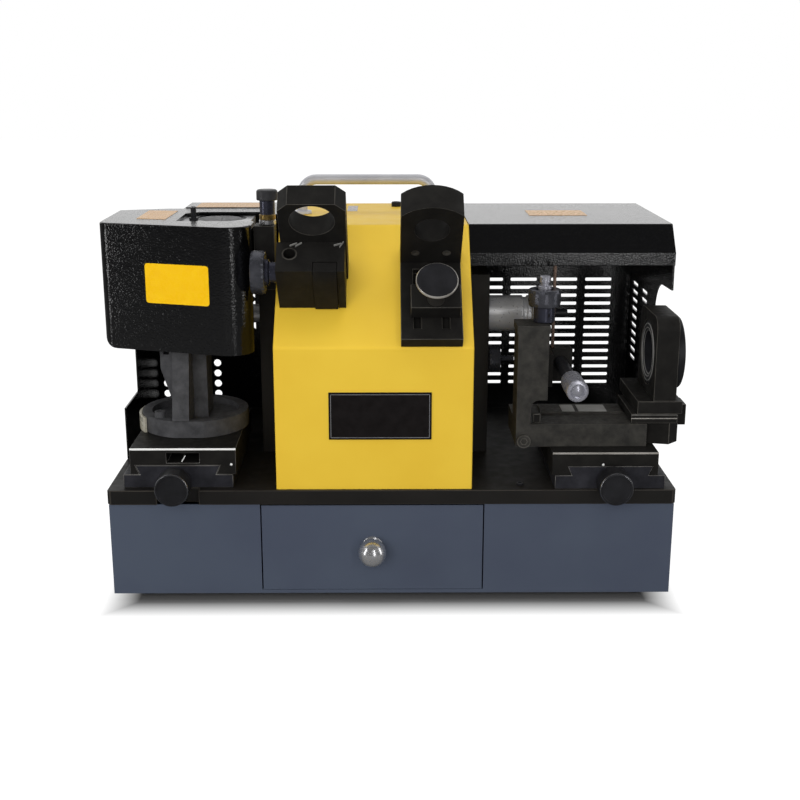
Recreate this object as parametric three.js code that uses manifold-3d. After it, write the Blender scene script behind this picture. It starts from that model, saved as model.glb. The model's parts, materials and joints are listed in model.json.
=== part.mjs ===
// End mill grinder for the bench: a cabinet with a drawer, a base plate, a motor with a
// grinding wheel at each end of its spindle, two dovetail feed slides that bring the
// tool to the wheels, sheet metal covers, and two chuck setting fixtures on the slope.
//
// Millimetres. +Z is up, -Y faces the operator, +X is to the operator's right.
// While building, X = 0 is the middle of the base plate, Y = 0 is the spindle axis and
// Z = 0 is the floor. The finished group is shifted so that the middle of the bounding
// box's underside is the origin.

import * as THREE from "three";
import { mergeVertices } from "three/addons/utils/BufferGeometryUtils.js";
import Module from "manifold-3d";

const wasm = await Module();
wasm.setup();

// Driving dimensions

const GAP = 0.3;
const RUNNING = 0.4;
const OVERRUN = 2;
const SHEET = 1.5;
const BORE = 64;

const foot = { radius: 12, height: 7, inset: 26 };
const cabinet = { height: 76, step: 1, sill: 3, runnerWidth: 9, runnerHeight: 1.8 };
const plate = { width: 450, depth: 250, thickness: 12, front: -120, chamfer: 2.5 };
const notch = { inset: 39.3, width: 33, depth: 7.2 };

const drawer = { centre: -15.5, width: 176, backSpace: 43, trayHeight: 52, frontGap: 1, wall: 1.2 };
const knob = { radius: 11, flangeRadius: 8.5, flangeHeight: 2, neckRadius: 5.2, length: 26, rise: 37 };

const cover = { left: -91.3, right: 63.4, front: -117, bend: 114.5, height: 198, run: 85, back: 126 };
const slopeAngle = Math.atan2(cover.height - cover.bend, cover.run);

const spindle = { height: 118.3, radius: 7.9, hubRadius: 15.3, holeRadius: 17.5, hubEnd: 119.4 };
const leftWheel = { radius: 34.5, width: 9.4, face: -138.9, seatRadius: 8, flangeRadius: 15, flangeWidth: 7 };
const leftNut = { radius: 9.5, width: 7, studRadius: 5 };
const rightWheel = { radius: 17.5, width: 11.3, seatRadius: 6 };
const rightScrew = { headRadius: 8, headLength: 6, tipRadius: 3.3, length: 20 };
const motor = {
  radius: 46, left: -78, right: 50, bellLength: 16, bellRadius: 40, footLength: 72, footWidth: 84,
};

const sidePlate = { front: -20, back: 124, height: 155, flange: 19 };
const slotHole = { length: 25, height: 3.1, corner: 0.7, pitch: 7.75, rows: 14, top: 126 };
const slotColumns = [82.7, 115, 153.6, 186.3];

const hood = { right: 231, front: -28, foldOut: 18, foldDrop: 21.3, lipDrop: 10.6, back: 126 };
const hoodSide = { tipHeight: 145.5, arcRadius: 28, arcY: -9.5, arcHeight: 116.3 };
const hoodSideColumns = [
  { y: 89, rows: 10 },
  { y: 48, rows: 2 },
];

const leftHood = {
  left: -229.6, right: -108.6, top: 205, bottom: 105, wall: 2,
  sideCorner: 10, noseCorner: 18, cornerRun: 39.6, lowCorner: 10,
};
const leftHoodPlan = { front: -74.86, sideBack: 12, back: 24, skirtBack: -84, noseFront: -130 };
const leftHoodLean = THREE.MathUtils.degToRad(17.5);
const hoodWindow = { left: -170, front: -63.6, back: -2.5, bevel: 10 };
const hinge = { radius: 2.6, y: 27.5, height: 203, left: -176, right: -112 };

const rearCover = { left: -186, front: 33, top: 199, skirt: 14 };
const leftBack = { left: -225, top: 192 };
const roundHole = { radius: 3.6, pitch: 10.2, top: 44.5, rows: 4, upperTop: 112.2, upperRows: 4 };
const roundColumns = [-217, -167.5, -128.5];
const leftSide = { front: 20, guardFront: -37, guardHeight: 44.5 };

const slide = {
  baseWidth: 87, baseHeight: 11, neckWidth: 60.6, crownWidth: 67.2, crownHeight: 7.5,
  carriageWidth: 83.5, screwRise: 9.3, screwRadius: 4, channelWidth: 16, channelRise: 3.5,
  wall: 8, nutWidth: 12, nutLength: 20, nutDrop: 4.5,
};
const leftSlide = { x: -169.2, front: -112.5, length: 112, shift: 4.2, top: 32.2, carriage: 122, nutY: -60 };
const rightSlide = { x: 172.5, front: -117.5, length: 120, shift: -4.2, top: 29.7, carriage: 100, nutY: -70 };
const feedKnob = { radius: 13, length: 19, face: -147, neckRadius: 6, bevel: 1.2 };
const pocket = { width: 26, bottom: 20.5, height: 8.3, depth: 30 };

const swivel = { x: -164, y: -42, radius: 44, thickness: 13.8, flatFront: -84.5, pitRadius: 36, pitDepth: 5 };
const scale = { height: 12.5, width: 2.2, fromDegrees: 158, toDegrees: 236, steps: 10 };
const column = {
  left: -177, right: -152, footFront: -83, topFront: -68, back: -22, leanHeight: 60, rib: 13.5,
};
const lug = { width: 10, bottom: 86, height: 24, depth: 14, gusset: 32, hole: 4.6 };
const seatPlate = { left: -178, right: -114, front: -62, back: 2, thickness: 7, lift: 194.2 };
const leftBore = { x: -141, y: -16, radius: 17, sleeveRadius: 21.5, sleeveLength: 26 };
const pin = { x: -160.5, y: -33, radius: 2.1, height: 11.5, collar: 3.4, collarHeight: 2.4 };
const clampScrew = { x: -189, y: -70, radius: 4.4, height: 5, socket: 2.3 };

const arm = { left: 98.8, right: 203, front: -101, back: -40, thickness: 18.3 };
const post = { width: 24.3, depth: 29, height: 97.7, footWidth: 11.5, shoulder: 38, fillet: 6 };
const postCap = { height: 6, lip: 0.8 };
const armBolt = { radius: 5.5, height: 2.6, socket: 2.8, inset: 6.3, rise: 4.8 };
const rail = { left: 122, right: 189, front: -69, width: 24, height: 1.5 };
const lift = {
  x: 120.5, y: -83, collarRadius: 8.5, collarHeight: 13, headRadius: 13, headHeight: 13.5,
  pinRadius: 4.2, pinHeight: 11,
};
const holder = { left: 123.6, width: 23, front: -68, depth: 18, bottom: 75.2, height: 26.8, plateWidth: 5 };
const mic = {
  x: 137.2, height: 90.8, end: -160, thimbleRadius: 8.4, thimbleLength: 34, sleeveRadius: 5.2,
  spindleRadius: 3,
};
const blade = { x: 131, y: -61.6, width: 2.6, thickness: 1.6, bottom: 80, top: 169, clearance: 3.6 };

const seat = { y: -67, baseLeft: 190.5, baseRight: 227, baseHeight: 7.8, endRight: 230.5 };
const seatEnd = { front: -92.5, width: 34, facet: 8.5, rise: 3.3 };
const seatDeck = { left: 194.7, width: 35.6, front: -101, depth: 77, thickness: 10.3 };
const seatBlock = {
  left: 207, width: 18, length: 64, height: 66.7, boreRadius: 21, boreRise: 32.7, corner: 11,
};
const bush = {
  boreRadius: 17, bodyRadius: 20.7, rimRadius: 25.8, rimDepth: 4, flangeRadius: 32, flangeWidth: 6,
};
const seatLock = { width: 7.3, depth: 22, bottom: 41, height: 17.2 };

const leftFixture = {
  left: -87.5, width: 52, start: 37, length: 27.4, height: 48.3, hole: 4.7, holeInset: 10.2,
  holeBehind: 16.4,
};
const ring = {
  left: -84.7, width: 50.6, thickness: 18.3, height: 92.4, chamfer: 7.6, boreRadius: 17,
  boreHeight: 73.3,
};
const finger = {
  left: -59.5, width: 18, slotDepth: 9, proud: 2.5, bottom: 2, lip: 37, crest: 47.9, pinionRadius: 5,
};
const fingerKnob = { radius: 16.8, width: 11, neckRadius: 8, neck: 9, along: 50, height: 29.3 };
const latch = { right: -91.6, width: 16.2, boreInset: 5.9, front: -75, depth: 20, bottom: 152, top: 202.5 };
const plunger = {
  capRadius: 8.3, capHeight: 8, stemRadius: 6, stemHeight: 11, ringRadius: 6.6, ringHeight: 8,
  rodRadius: 3, rod: 34,
};

const rightFixture = {
  left: 7, width: 47.5, start: 0.5, length: 94, thickness: 11.1, slotWidth: 6, slotGauge: 22,
};
const arch = {
  start: 72.3, thickness: 22, boreRadius: 13.5, boreHeight: 52.5, side: 69, top: 79.3, screw: 2.6,
  screwGauge: 24.5, screwRise: 12.6,
};
const slider = { left: 14.5, width: 38.3, start: 20, length: 22, thickness: 13.6 };
const sliderKnob = { radius: 16, thickness: 9.5, neckRadius: 6.6, neck: 16, inset: 7.6, dish: 1 };

const handle = { radius: 4.4, left: -77, right: 36, y: 45, height: 34, corner: 16, boss: 8, bossHeight: 3 };
const dial = {
  y: 0, height: 78.3, radius: 12, width: 9.5, stand: 21, stemRadius: 3.2, tipRadius: 2.6, tip: 12,
};
const inlet = {
  x: 30, height: 40, width: 50, tall: 30, margin: 4.5, flange: 2.5, body: 18, mouthWidth: 24,
  mouthTall: 17, mouthDepth: 14,
};
const rocker = {
  x: -35, height: 42, width: 34, tall: 27, margin: 4, flange: 2, body: 16, pawlWidth: 20, pawlTall: 13,
  clear: 1.2, tiltDegrees: 9,
};

// Heights and edges that follow from them

const cabinetTop = foot.height + cabinet.height;
const deck = cabinetTop + plate.thickness;
const plateBack = plate.front + plate.depth;
const coverTop = deck + cover.height;
const shaftHeight = deck + spindle.height;
const cabinetFront = plate.front + cabinet.step;
const cabinetBack = plateBack - cabinet.step;
const cabinetSide = plate.width / 2 - cabinet.step;
const drawerFloor = foot.height + SHEET + cabinet.runnerHeight + GAP;

// Finishes

const finish = (color, roughness, metalness) => new THREE.MeshStandardMaterial({ color, roughness,
    metalness });
const yellow = finish(0xdca914, 0.45, 0.1);
const slate = finish(0x48505e, 0.5, 0.2);
const hammertone = finish(0x1b1b1c, 0.4, 0.3);
const satinBlack = finish(0x232325, 0.45, 0.4);
const blackOxide = finish(0x2c2c2e, 0.5, 0.6);
const castIron = finish(0x3b3d40, 0.6, 0.6);
const steel = finish(0xb4b6b8, 0.3, 0.9);
const polished = finish(0xd8dadc, 0.2, 1);
const abrasive = finish(0x8d8a84, 0.9, 0);
const rubber = finish(0x161616, 0.9, 0);
const plastic = finish(0x1d1d1f, 0.6, 0);
const copper = finish(0xb07a5c, 0.35, 0.8);

// Solids

const AXES = {
  x: [0, 1, 0, 0, 0, 1, 1, 0, 0], y: [1, 0, 0, 0, 0, 1, 0, -1, 0], z: [1, 0, 0, 0, 1, 0, 0, 0, 1],
};

/** Turns a closed three.js geometry into a solid that can be joined and cut. */
function solidOf(geometry) {
  const bare = geometry.index ? geometry.toNonIndexed() : geometry.clone();
  bare.deleteAttribute("normal");
  bare.deleteAttribute("uv");
  const merged = mergeVertices(bare);
  return new wasm.Manifold(new wasm.Mesh({
    numProp: 3,
    vertProperties: new Float32Array(merged.attributes.position.array),
    triVerts: new Uint32Array(merged.index.array),
  }));
}

/** Turns a solid back into a geometry with flat normals. */
function geometryOf(solid) {
  const mesh = solid.getMesh();
  const geometry = new THREE.BufferGeometry();
  geometry.setAttribute("position", new THREE.BufferAttribute(new Float32Array(mesh.vertProperties), 3));
  geometry.setIndex(new THREE.BufferAttribute(new Uint32Array(mesh.triVerts), 1));
  const flat = geometry.toNonIndexed();
  flat.computeVertexNormals();
  return flat;
}

/** Stands a geometry that was made along Z on another axis. */
function along(axis, geometry) {
  const [a, b, c, d, e, f, g, h, i] = AXES[axis];
  const basis = new THREE.Matrix4().makeBasis(
    new THREE.Vector3(a, b, c), new THREE.Vector3(d, e, f), new THREE.Vector3(g, h, i));
  return geometry.applyMatrix4(basis);
}

/** Places a geometry that runs along an axis between two stations. */
function between(axis, geometry, from, to) {
  const start = axis === "y" ? to : from;
  const shift = { x: 0, y: 0, z: 0, [axis]: start };
  return along(axis, geometry).translate(shift.x, shift.y, shift.z);
}

/** A box between two corners. */
function block(x0, x1, y0, y1, z0, z1) {
  const box = new THREE.BoxGeometry(x1 - x0, y1 - y0, z1 - z0);
  box.translate((x0 + x1) / 2, (y0 + y1) / 2, (z0 + z1) / 2);
  return solidOf(box);
}

/** A prism of an outline, in YZ along x, in XZ along y, or in XY along z. */
function prism(axis, points, from, to, holes = []) {
  const shape = new THREE.Shape(points.map(([u, v]) => new THREE.Vector2(u, v)));
  shape.holes = holes.map((hole) => new THREE.Path(hole.map(([u, v]) => new THREE.Vector2(u, v))));
  const geometry = new THREE.ExtrudeGeometry(shape, { depth: to - from, bevelEnabled: false });
  return solidOf(between(axis, geometry, from, to));
}

/** A round bar along an axis; its centre is given in the plane that prism uses. */
function rod(axis, centre, radius, from, to, sides = 28) {
  return prism(axis, arc(centre, radius, 0, 2 * Math.PI, sides).slice(0, -1), from, to);
}

/** Points on an arc, ends included. */
function arc([u, v], radius, from, to, steps) {
  return Array.from({ length: steps + 1 }, (_, i) => {
    const angle = from + ((to - from) * i) / steps;
    return [u + radius * Math.cos(angle), v + radius * Math.sin(angle)];
  });
}

/**
 * A turned piece along an axis from [radius, station] pairs that start and end on it.
 * Along y the stations count towards the operator.
 */
function turned(axis, centre, profile, sides = 28) {
  const points = profile.map(([radius, station]) => new THREE.Vector2(radius, station));
  const solid = solidOf(along(axis, new THREE.LatheGeometry(points, sides).rotateX(Math.PI / 2)));
  const [u, v] = centre;
  const shift = { x: [0, u, v], y: [u, 0, v], z: [u, v, 0] }[axis];
  return solid.translate(shift);
}

/** A hollow tube along an axis. */
function tube(axis, centre, outer, inner, from, to, sides = 28) {
  const bore = rod(axis, centre, inner, from - OVERRUN, to + OVERRUN, sides);
  return rod(axis, centre, outer, from, to, sides).subtract(bore);
}

/** Joins solids into one. */
function join(first, ...others) {
  return others.reduce((sum, other) => sum.add(other), first);
}

/** Cuts solids out of the first one. */
function cut(first, ...others) {
  return others.reduce((rest, other) => rest.subtract(other), first);
}

const machine = new THREE.Group();

/** Adds a named piece to the machine or to one of its groups. */
function add(name, material, solid, group = machine) {
  const mesh = new THREE.Mesh(geometryOf(solid), material);
  mesh.name = name;
  group.add(mesh);
}

// Cabinet, drawer and base plate

function addCabinet() {
  const floor = foot.height + SHEET;
  const openLeft = drawer.centre - drawer.width / 2 - drawer.frontGap;
  const openRight = drawer.centre + drawer.width / 2 + drawer.frontGap;
  const shell = cut(
    block(-cabinetSide, cabinetSide, cabinetFront, cabinetBack, foot.height, cabinetTop),
    block(-cabinetSide + SHEET, cabinetSide - SHEET, cabinetFront + SHEET, cabinetBack - SHEET, floor,
        cabinetTop + OVERRUN),
    block(openLeft, openRight, cabinetFront - OVERRUN, cabinetFront + 2 * SHEET,
        foot.height + cabinet.sill, cabinetTop + OVERRUN),
  );
  const wall = (x0) =>
    block(x0, x0 + SHEET, cabinetFront + SHEET / 2, cabinetBack - SHEET / 2, foot.height + SHEET / 2,
        cabinetTop);
  const runner = (x0) => block(
    x0, x0 + cabinet.runnerWidth, cabinetFront + SHEET / 2, cabinetBack - SHEET / 2,
    foot.height + SHEET / 2, floor + cabinet.runnerHeight);
  add("base_cabinet", slate, join(
    shell, wall(openLeft - GAP - SHEET), wall(openRight + GAP),
    runner(openLeft - SHEET), runner(openRight + SHEET - cabinet.runnerWidth),
  ));
  const across = plate.width / 2 - foot.inset;
  const near = plate.front + foot.inset;
  const far = plateBack - foot.inset;
  for (const [name, x, y] of [
    ["foot_front_left", -across, near], ["foot_front_right", across, near],
    ["foot_back_left", -across, far], ["foot_back_right", across, far],
  ]) {
    add(name, rubber, rod("z", [x, y], foot.radius, 0, foot.height, 20));
  }
}

function addDrawer() {
  const left = drawer.centre - drawer.width / 2;
  const right = drawer.centre + drawer.width / 2;
  const faceTop = cabinetTop - drawer.frontGap;
  const faceBottom = foot.height + cabinet.sill + GAP;
  const trayTop = drawerFloor + drawer.trayHeight;
  const trayBack = cabinetBack - drawer.backSpace;
  const wall = drawer.wall;
  const tray = cut(
    block(left, right, cabinetFront, trayBack, drawerFloor, trayTop),
    block(left + wall, right - wall, cabinetFront + SHEET, trayBack - wall, drawerFloor + wall,
        trayTop + OVERRUN),
  );
  add("drawer", slate, join(tray, block(left, right, cabinetFront, cabinetFront + SHEET, faceBottom,
      faceTop)));
  const start = -cabinetFront;
  const ballCentre = start + knob.length - knob.radius;
  const neckAngle = Math.acos(knob.neckRadius / knob.radius);
  const ball = arc([0, ballCentre], knob.radius, -neckAngle, Math.PI / 2, 10);
  const profile = [
    [0, start], [knob.flangeRadius, start], [knob.flangeRadius, start + knob.flangeHeight],
    [knob.neckRadius, start + 2 * knob.flangeHeight], ...ball.slice(0, -1), [0, start + knob.length],
  ];
  add("drawer_knob", polished, turned("y", [drawer.centre, drawerFloor + knob.rise], profile));
}

function addPlate() {
  const half = plate.width / 2;
  const { front, chamfer } = plate;
  const notchLeft = -half + notch.inset;
  const notchRight = notchLeft + notch.width;
  add("base_plate", satinBlack, prism("z", [
    [-half + chamfer, front], [notchLeft, front], [notchLeft, front + notch.depth],
    [notchRight, front + notch.depth], [notchRight, front], [half - chamfer, front],
    [half, front + chamfer], [half, plateBack], [-half, plateBack], [-half, front + chamfer],
  ], cabinetTop, deck));
}

// Centre cover over the motor

/** The cover's section in YZ, drawn in by an inset. */
function coverSection(inset, back) {
  const drop = inset * Math.tan((Math.PI / 2 - slopeAngle) / 2);
  const kink = inset * Math.tan(slopeAngle / 2);
  const foot0 = deck - (inset > 0 ? OVERRUN : 0);
  return [
    [cover.front + inset, foot0],
    [cover.front + inset, deck + cover.bend - drop],
    [cover.front + cover.run + kink, coverTop - inset],
    [back, coverTop - inset],
    [back, foot0],
  ];
}

function addCentreCover() {
  const shell = cut(
    prism("x", coverSection(0, cover.back), cover.left, cover.right),
    prism("x", coverSection(SHEET, cover.back + OVERRUN), cover.left + SHEET, cover.right - SHEET),
    rod("x", [0, shaftHeight], spindle.holeRadius, cover.left - OVERRUN, cover.right + OVERRUN),
  );
  add("center_cover", yellow, shell);
  const inLeft = cover.left + SHEET + GAP;
  const inRight = cover.right - SHEET - GAP;
  const panelBack = cover.back;
  add("rear_panel", satinBlack, cut(
    block(inLeft, inRight, panelBack - SHEET, panelBack, deck + GAP, coverTop - SHEET - GAP),
    fittingBody(inlet, GAP, panelBack - SHEET - OVERRUN, panelBack + OVERRUN),
    fittingBody(rocker, GAP, panelBack - SHEET - OVERRUN, panelBack + OVERRUN),
  ));
}

/** The part of a panel fitting that goes through the rear panel, grown by a clearance. */
function fittingBody(piece, clearance, from, to) {
  const inset = piece.margin - clearance;
  const low = deck + piece.height;
  return block(piece.x - piece.width / 2 + inset, piece.x + piece.width / 2 - inset, from, to,
      low + inset, low + piece.tall - inset);
}

/** A panel fitting: a flange outside the rear panel and a body that goes through it. */
function fitting(piece) {
  const face = cover.back + GAP;
  const low = deck + piece.height;
  return join(
    block(piece.x - piece.width / 2, piece.x + piece.width / 2, face, face + piece.flange, low,
        low + piece.tall),
    fittingBody(piece, 0, face - piece.body, face + piece.flange / 2),
  );
}

function addElectrics() {
  const outer = cover.back + GAP + inlet.flange;
  const middle = deck + inlet.height + inlet.tall / 2;
  const mouth = block(
    inlet.x - inlet.mouthWidth / 2, inlet.x + inlet.mouthWidth / 2, outer - inlet.mouthDepth, outer + OVERRUN,
    middle - inlet.mouthTall / 2, middle + inlet.mouthTall / 2);
  const prongDepth = inlet.mouthDepth;
  const prong = (x, z) => block(x - SHEET, x + SHEET, outer - prongDepth - SHEET, outer - SHEET,
      z - SHEET, z + SHEET);
  const spread = inlet.mouthWidth / 4;
  add("power_inlet", plastic, join(
    cut(fitting(inlet), mouth),
    prong(inlet.x - spread, middle - SHEET), prong(inlet.x + spread, middle - SHEET), prong(inlet.x,
        middle + 2 * SHEET),
  ));
  const face = cover.back + GAP + rocker.flange;
  const centre = deck + rocker.height + rocker.tall / 2;
  const halfWide = rocker.pawlWidth / 2;
  const halfTall = rocker.pawlTall / 2;
  const pocketCut = block(
    rocker.x - halfWide - GAP, rocker.x + halfWide + GAP, face - rocker.flange - halfTall, face + OVERRUN,
    centre - halfTall - rocker.clear, centre + halfTall + rocker.clear);
  add("switch_housing", plastic, cut(fitting(rocker), pocketCut));
  const tilt = THREE.MathUtils.degToRad(rocker.tiltDegrees);
  const rise = halfTall * Math.tan(tilt);
  add("switch_rocker", plastic, prism("x", [
    [face - rocker.flange, centre - halfTall], [face + SHEET + rise, centre - halfTall + GAP],
    [face + SHEET / 2, centre], [face + GAP, centre + halfTall - GAP], [face - rocker.flange,
    centre + halfTall - GAP],
    [face - 2 * rocker.flange, centre],
  ], rocker.x - halfWide, rocker.x + halfWide));
}

// Motor, spindle and wheels

function addMotor() {
  const centre = [0, shaftHeight];
  const { radius, left, right, bellLength, bellRadius } = motor;
  const shell = turned("x", centre, [
    [0, left], [bellRadius, left], [radius, left + bellLength], [radius, right - bellLength],
    [bellRadius, right], [0, right],
  ], 36);
  const bore = rod("x", centre, spindle.radius + RUNNING, left - OVERRUN, right + OVERRUN);
  const middle = (left + right) / 2;
  const halfLong = motor.footLength / 2;
  const halfWide = motor.footWidth / 2;
  const pedestal = block(middle - halfLong, middle + halfLong, -halfWide, halfWide, deck,
      shaftHeight - radius / 2);
  add("motor_body", castIron, cut(join(shell, pedestal), bore));
}

function addSpindle() {
  const centre = [0, shaftHeight];
  const wheelBack = leftWheel.face + leftWheel.width;
  const flangeEnd = wheelBack + GAP + leftWheel.flangeWidth;
  const studEnd = leftWheel.face - leftNut.width - SHEET;
  const hubStart = cover.right + SHEET;
  const seatEnd = spindle.hubEnd + GAP + rightWheel.width;
  const shaft = turned("x", centre, [
    [0, studEnd], [leftNut.studRadius, studEnd], [leftNut.studRadius, leftWheel.face],
    [leftWheel.seatRadius, leftWheel.face],
    [leftWheel.seatRadius, wheelBack + GAP], [leftWheel.flangeRadius, wheelBack + GAP],
    [leftWheel.flangeRadius, flangeEnd],
    [spindle.radius, flangeEnd], [spindle.radius, hubStart], [spindle.hubRadius, hubStart],
    [spindle.hubRadius, spindle.hubEnd],
    [rightWheel.seatRadius, spindle.hubEnd], [rightWheel.seatRadius, seatEnd - GAP], [0, seatEnd - GAP],
  ]);
  const nut = rod("x", centre, leftNut.radius, leftWheel.face - leftNut.width, leftWheel.face, 6);
  add("spindle_shaft", steel, join(shaft, nut));
  add("left_grinding_wheel", abrasive,
    tube("x", centre, leftWheel.radius, leftWheel.seatRadius + GAP, leftWheel.face + GAP, wheelBack, 40));
  add("right_grinding_wheel", abrasive,
    tube("x", centre, rightWheel.radius, rightWheel.seatRadius + GAP, spindle.hubEnd + GAP, seatEnd));
  const headStart = seatEnd + GAP;
  add("right_wheel_screw", blackOxide, turned("x", centre, [
    [0, headStart], [rightScrew.headRadius, headStart], [rightScrew.headRadius,
    headStart + rightScrew.headLength],
    [rightScrew.tipRadius, headStart + rightScrew.headLength], [rightScrew.tipRadius,
    headStart + rightScrew.length],
    [0, headStart + rightScrew.length],
  ], 20));
}

/** A side plate beside the centre cover: a web with a front flange and a top flange. */
function sidePlateSolid(x, outward) {
  const span = (a, b) => [Math.min(a, b), Math.max(a, b)];
  const web = span(x, x + outward * SHEET);
  const flange = span(x, x + outward * sidePlate.flange);
  const top = deck + sidePlate.height;
  return cut(
    join(
      block(...web, sidePlate.front, sidePlate.back, deck, top),
      block(...flange, sidePlate.front, sidePlate.front + SHEET, deck, top),
      block(...flange, sidePlate.front, sidePlate.back, top - SHEET, top),
    ),
    rod("x", [0, shaftHeight], spindle.holeRadius, web[0] - OVERRUN, web[1] + OVERRUN),
  );
}

function addSidePlates() {
  add("left_side_plate", satinBlack, sidePlateSolid(cover.left - GAP, -1));
  const stemHole = rod("x", [dial.y, deck + dial.height], dial.stemRadius + RUNNING,
      cover.right - OVERRUN, cover.right + dial.stand);
  add("right_side_plate", satinBlack, cut(sidePlateSolid(cover.right + GAP, 1), stemHole));
  const x = cover.right + GAP;
  add("side_dial", blackOxide, turned("x", [dial.y, deck + dial.height], [
    [0, x], [dial.stemRadius, x], [dial.stemRadius, x + dial.stand], [dial.radius, x + dial.stand],
    [dial.radius, x + dial.stand + dial.width], [dial.tipRadius, x + dial.stand + dial.width],
    [dial.tipRadius, x + dial.stand + dial.width + dial.tip], [0, x + dial.stand + dial.width + dial.tip],
  ]));
}

// Right hood

/** A slot with broken corners, as an outline in a panel's plane. */
function slotOutline(u, v) {
  const { corner } = slotHole;
  const low = v - slotHole.height / 2;
  const high = v + slotHole.height / 2;
  const end = u + slotHole.length;
  return [
    [u + corner, low], [end - corner, low], [end, low + corner], [end, high - corner],
    [end - corner, high], [u + corner, high], [u, high - corner], [u, low + corner],
  ];
}

function addRightHood() {
  const left = cover.right + GAP;
  const { front, foldOut, foldDrop, lipDrop, back, right } = hood;
  const fold = front - foldOut;
  const lean = Math.atan2(foldOut, foldDrop);
  const inner = SHEET * Math.tan((Math.PI / 2 - lean) / 2);
  const bendIn = SHEET * Math.tan(lean / 2);
  add("right_hood", hammertone, prism("x", [
    [back, coverTop], [front, coverTop], [fold, coverTop - foldDrop], [fold, coverTop - foldDrop - lipDrop],
    [fold + SHEET, coverTop - foldDrop - lipDrop], [fold + SHEET, coverTop - foldDrop + bendIn],
    [front + inner, coverTop - SHEET], [back, coverTop - SHEET],
  ], left, right));
  const panelLeft = left + SHEET + GAP;
  const panelTop = coverTop - SHEET - GAP;
  const columns = slotColumns.flatMap((x) =>
    Array.from({ length: slotHole.rows }, (_, row) => slotOutline(x,
        deck + slotHole.top - row * slotHole.pitch)));
  add("right_back_panel", hammertone, prism("y", [
    [panelLeft, deck], [right - SHEET - GAP, deck], [right - SHEET - GAP, panelTop], [panelLeft, panelTop],
  ], back - SHEET, back, columns));
  const clear = SHEET + GAP;
  const tip = [fold + clear, deck + hoodSide.tipHeight];
  const centre = [hoodSide.arcY, deck + hoodSide.arcHeight];
  const sideSlots = hoodSideColumns.flatMap(({ y, rows }) =>
    Array.from({ length: rows }, (_, row) => slotOutline(y, deck + slotHole.top - row * slotHole.pitch)));
  add("right_side_panel", hammertone, prism("x", [
    [back, deck], [back, panelTop], [front + clear, panelTop],
    [fold + clear + GAP, coverTop - foldDrop], tip,
    ...arc(centre, hoodSide.arcRadius, Math.PI / 2, 0, 8),
    [hoodSide.arcY + hoodSide.arcRadius, deck],
  ], right - SHEET, right, sideSlots));
}

// Left hood with its window, hinge, and the covers behind it

/** The left hood's plan, drawn in by an inset: a leaning front between two round corners. */
function leftHoodOutline(inset) {
  const { left, right, sideCorner, noseCorner, cornerRun } = leftHood;
  const { front, sideBack, back } = leftHoodPlan;
  const sideAt = [left + sideCorner, front + sideCorner];
  const noseX = right - noseCorner;
  const drop = (noseCorner - sideCorner - Math.sin(leftHoodLean) * (noseX - sideAt[0])) / Math.cos(leftHoodLean);
  const noseAt = [noseX, sideAt[1] + drop];
  const faceAngle = 1.5 * Math.PI - leftHoodLean;
  const past = inset > 0 ? OVERRUN : 0;
  return [
    ...arc(sideAt, sideCorner - inset, Math.PI, faceAngle, 8),
    ...arc(noseAt, noseCorner - inset, faceAngle, 2 * Math.PI, 12),
    [right - inset, back + past],
    [left + cornerRun + inset, back + past],
    [left + inset, sideBack + past],
  ];
}

function addLeftHood() {
  const bottom = deck + leftHood.bottom;
  const top = deck + leftHood.top;
  const wall = leftHood.wall;
  const right = leftHood.right;
  const { left, front, back, bevel } = hoodWindow;
  const { skirtBack } = leftHoodPlan;
  const corner = leftHood.lowCorner;
  const cornerAt = [leftHood.left + corner, bottom + corner];
  const shell = cut(
    prism("z", leftHoodOutline(0), bottom, top),
    prism("z", leftHoodOutline(wall), bottom - OVERRUN, top - wall),
    block(right - 2 * wall, right + OVERRUN, skirtBack, leftHoodPlan.back + OVERRUN, bottom - OVERRUN,
        top - wall),
    prism("z", [
      [right + OVERRUN, front], [left, front], [left, back - bevel], [left + bevel, back],
      [right + OVERRUN, back],
    ], top - 2 * wall, top + OVERRUN),
    prism("y", [
      [leftHood.left - OVERRUN, bottom - OVERRUN], [leftHood.left + corner, bottom - OVERRUN],
      ...arc(cornerAt, corner, 1.5 * Math.PI, Math.PI, 6), [leftHood.left - OVERRUN, bottom + corner],
    ], leftHoodPlan.noseFront, leftHoodPlan.back + OVERRUN),
  );
  add("left_hood", hammertone, shell);
}

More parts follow.
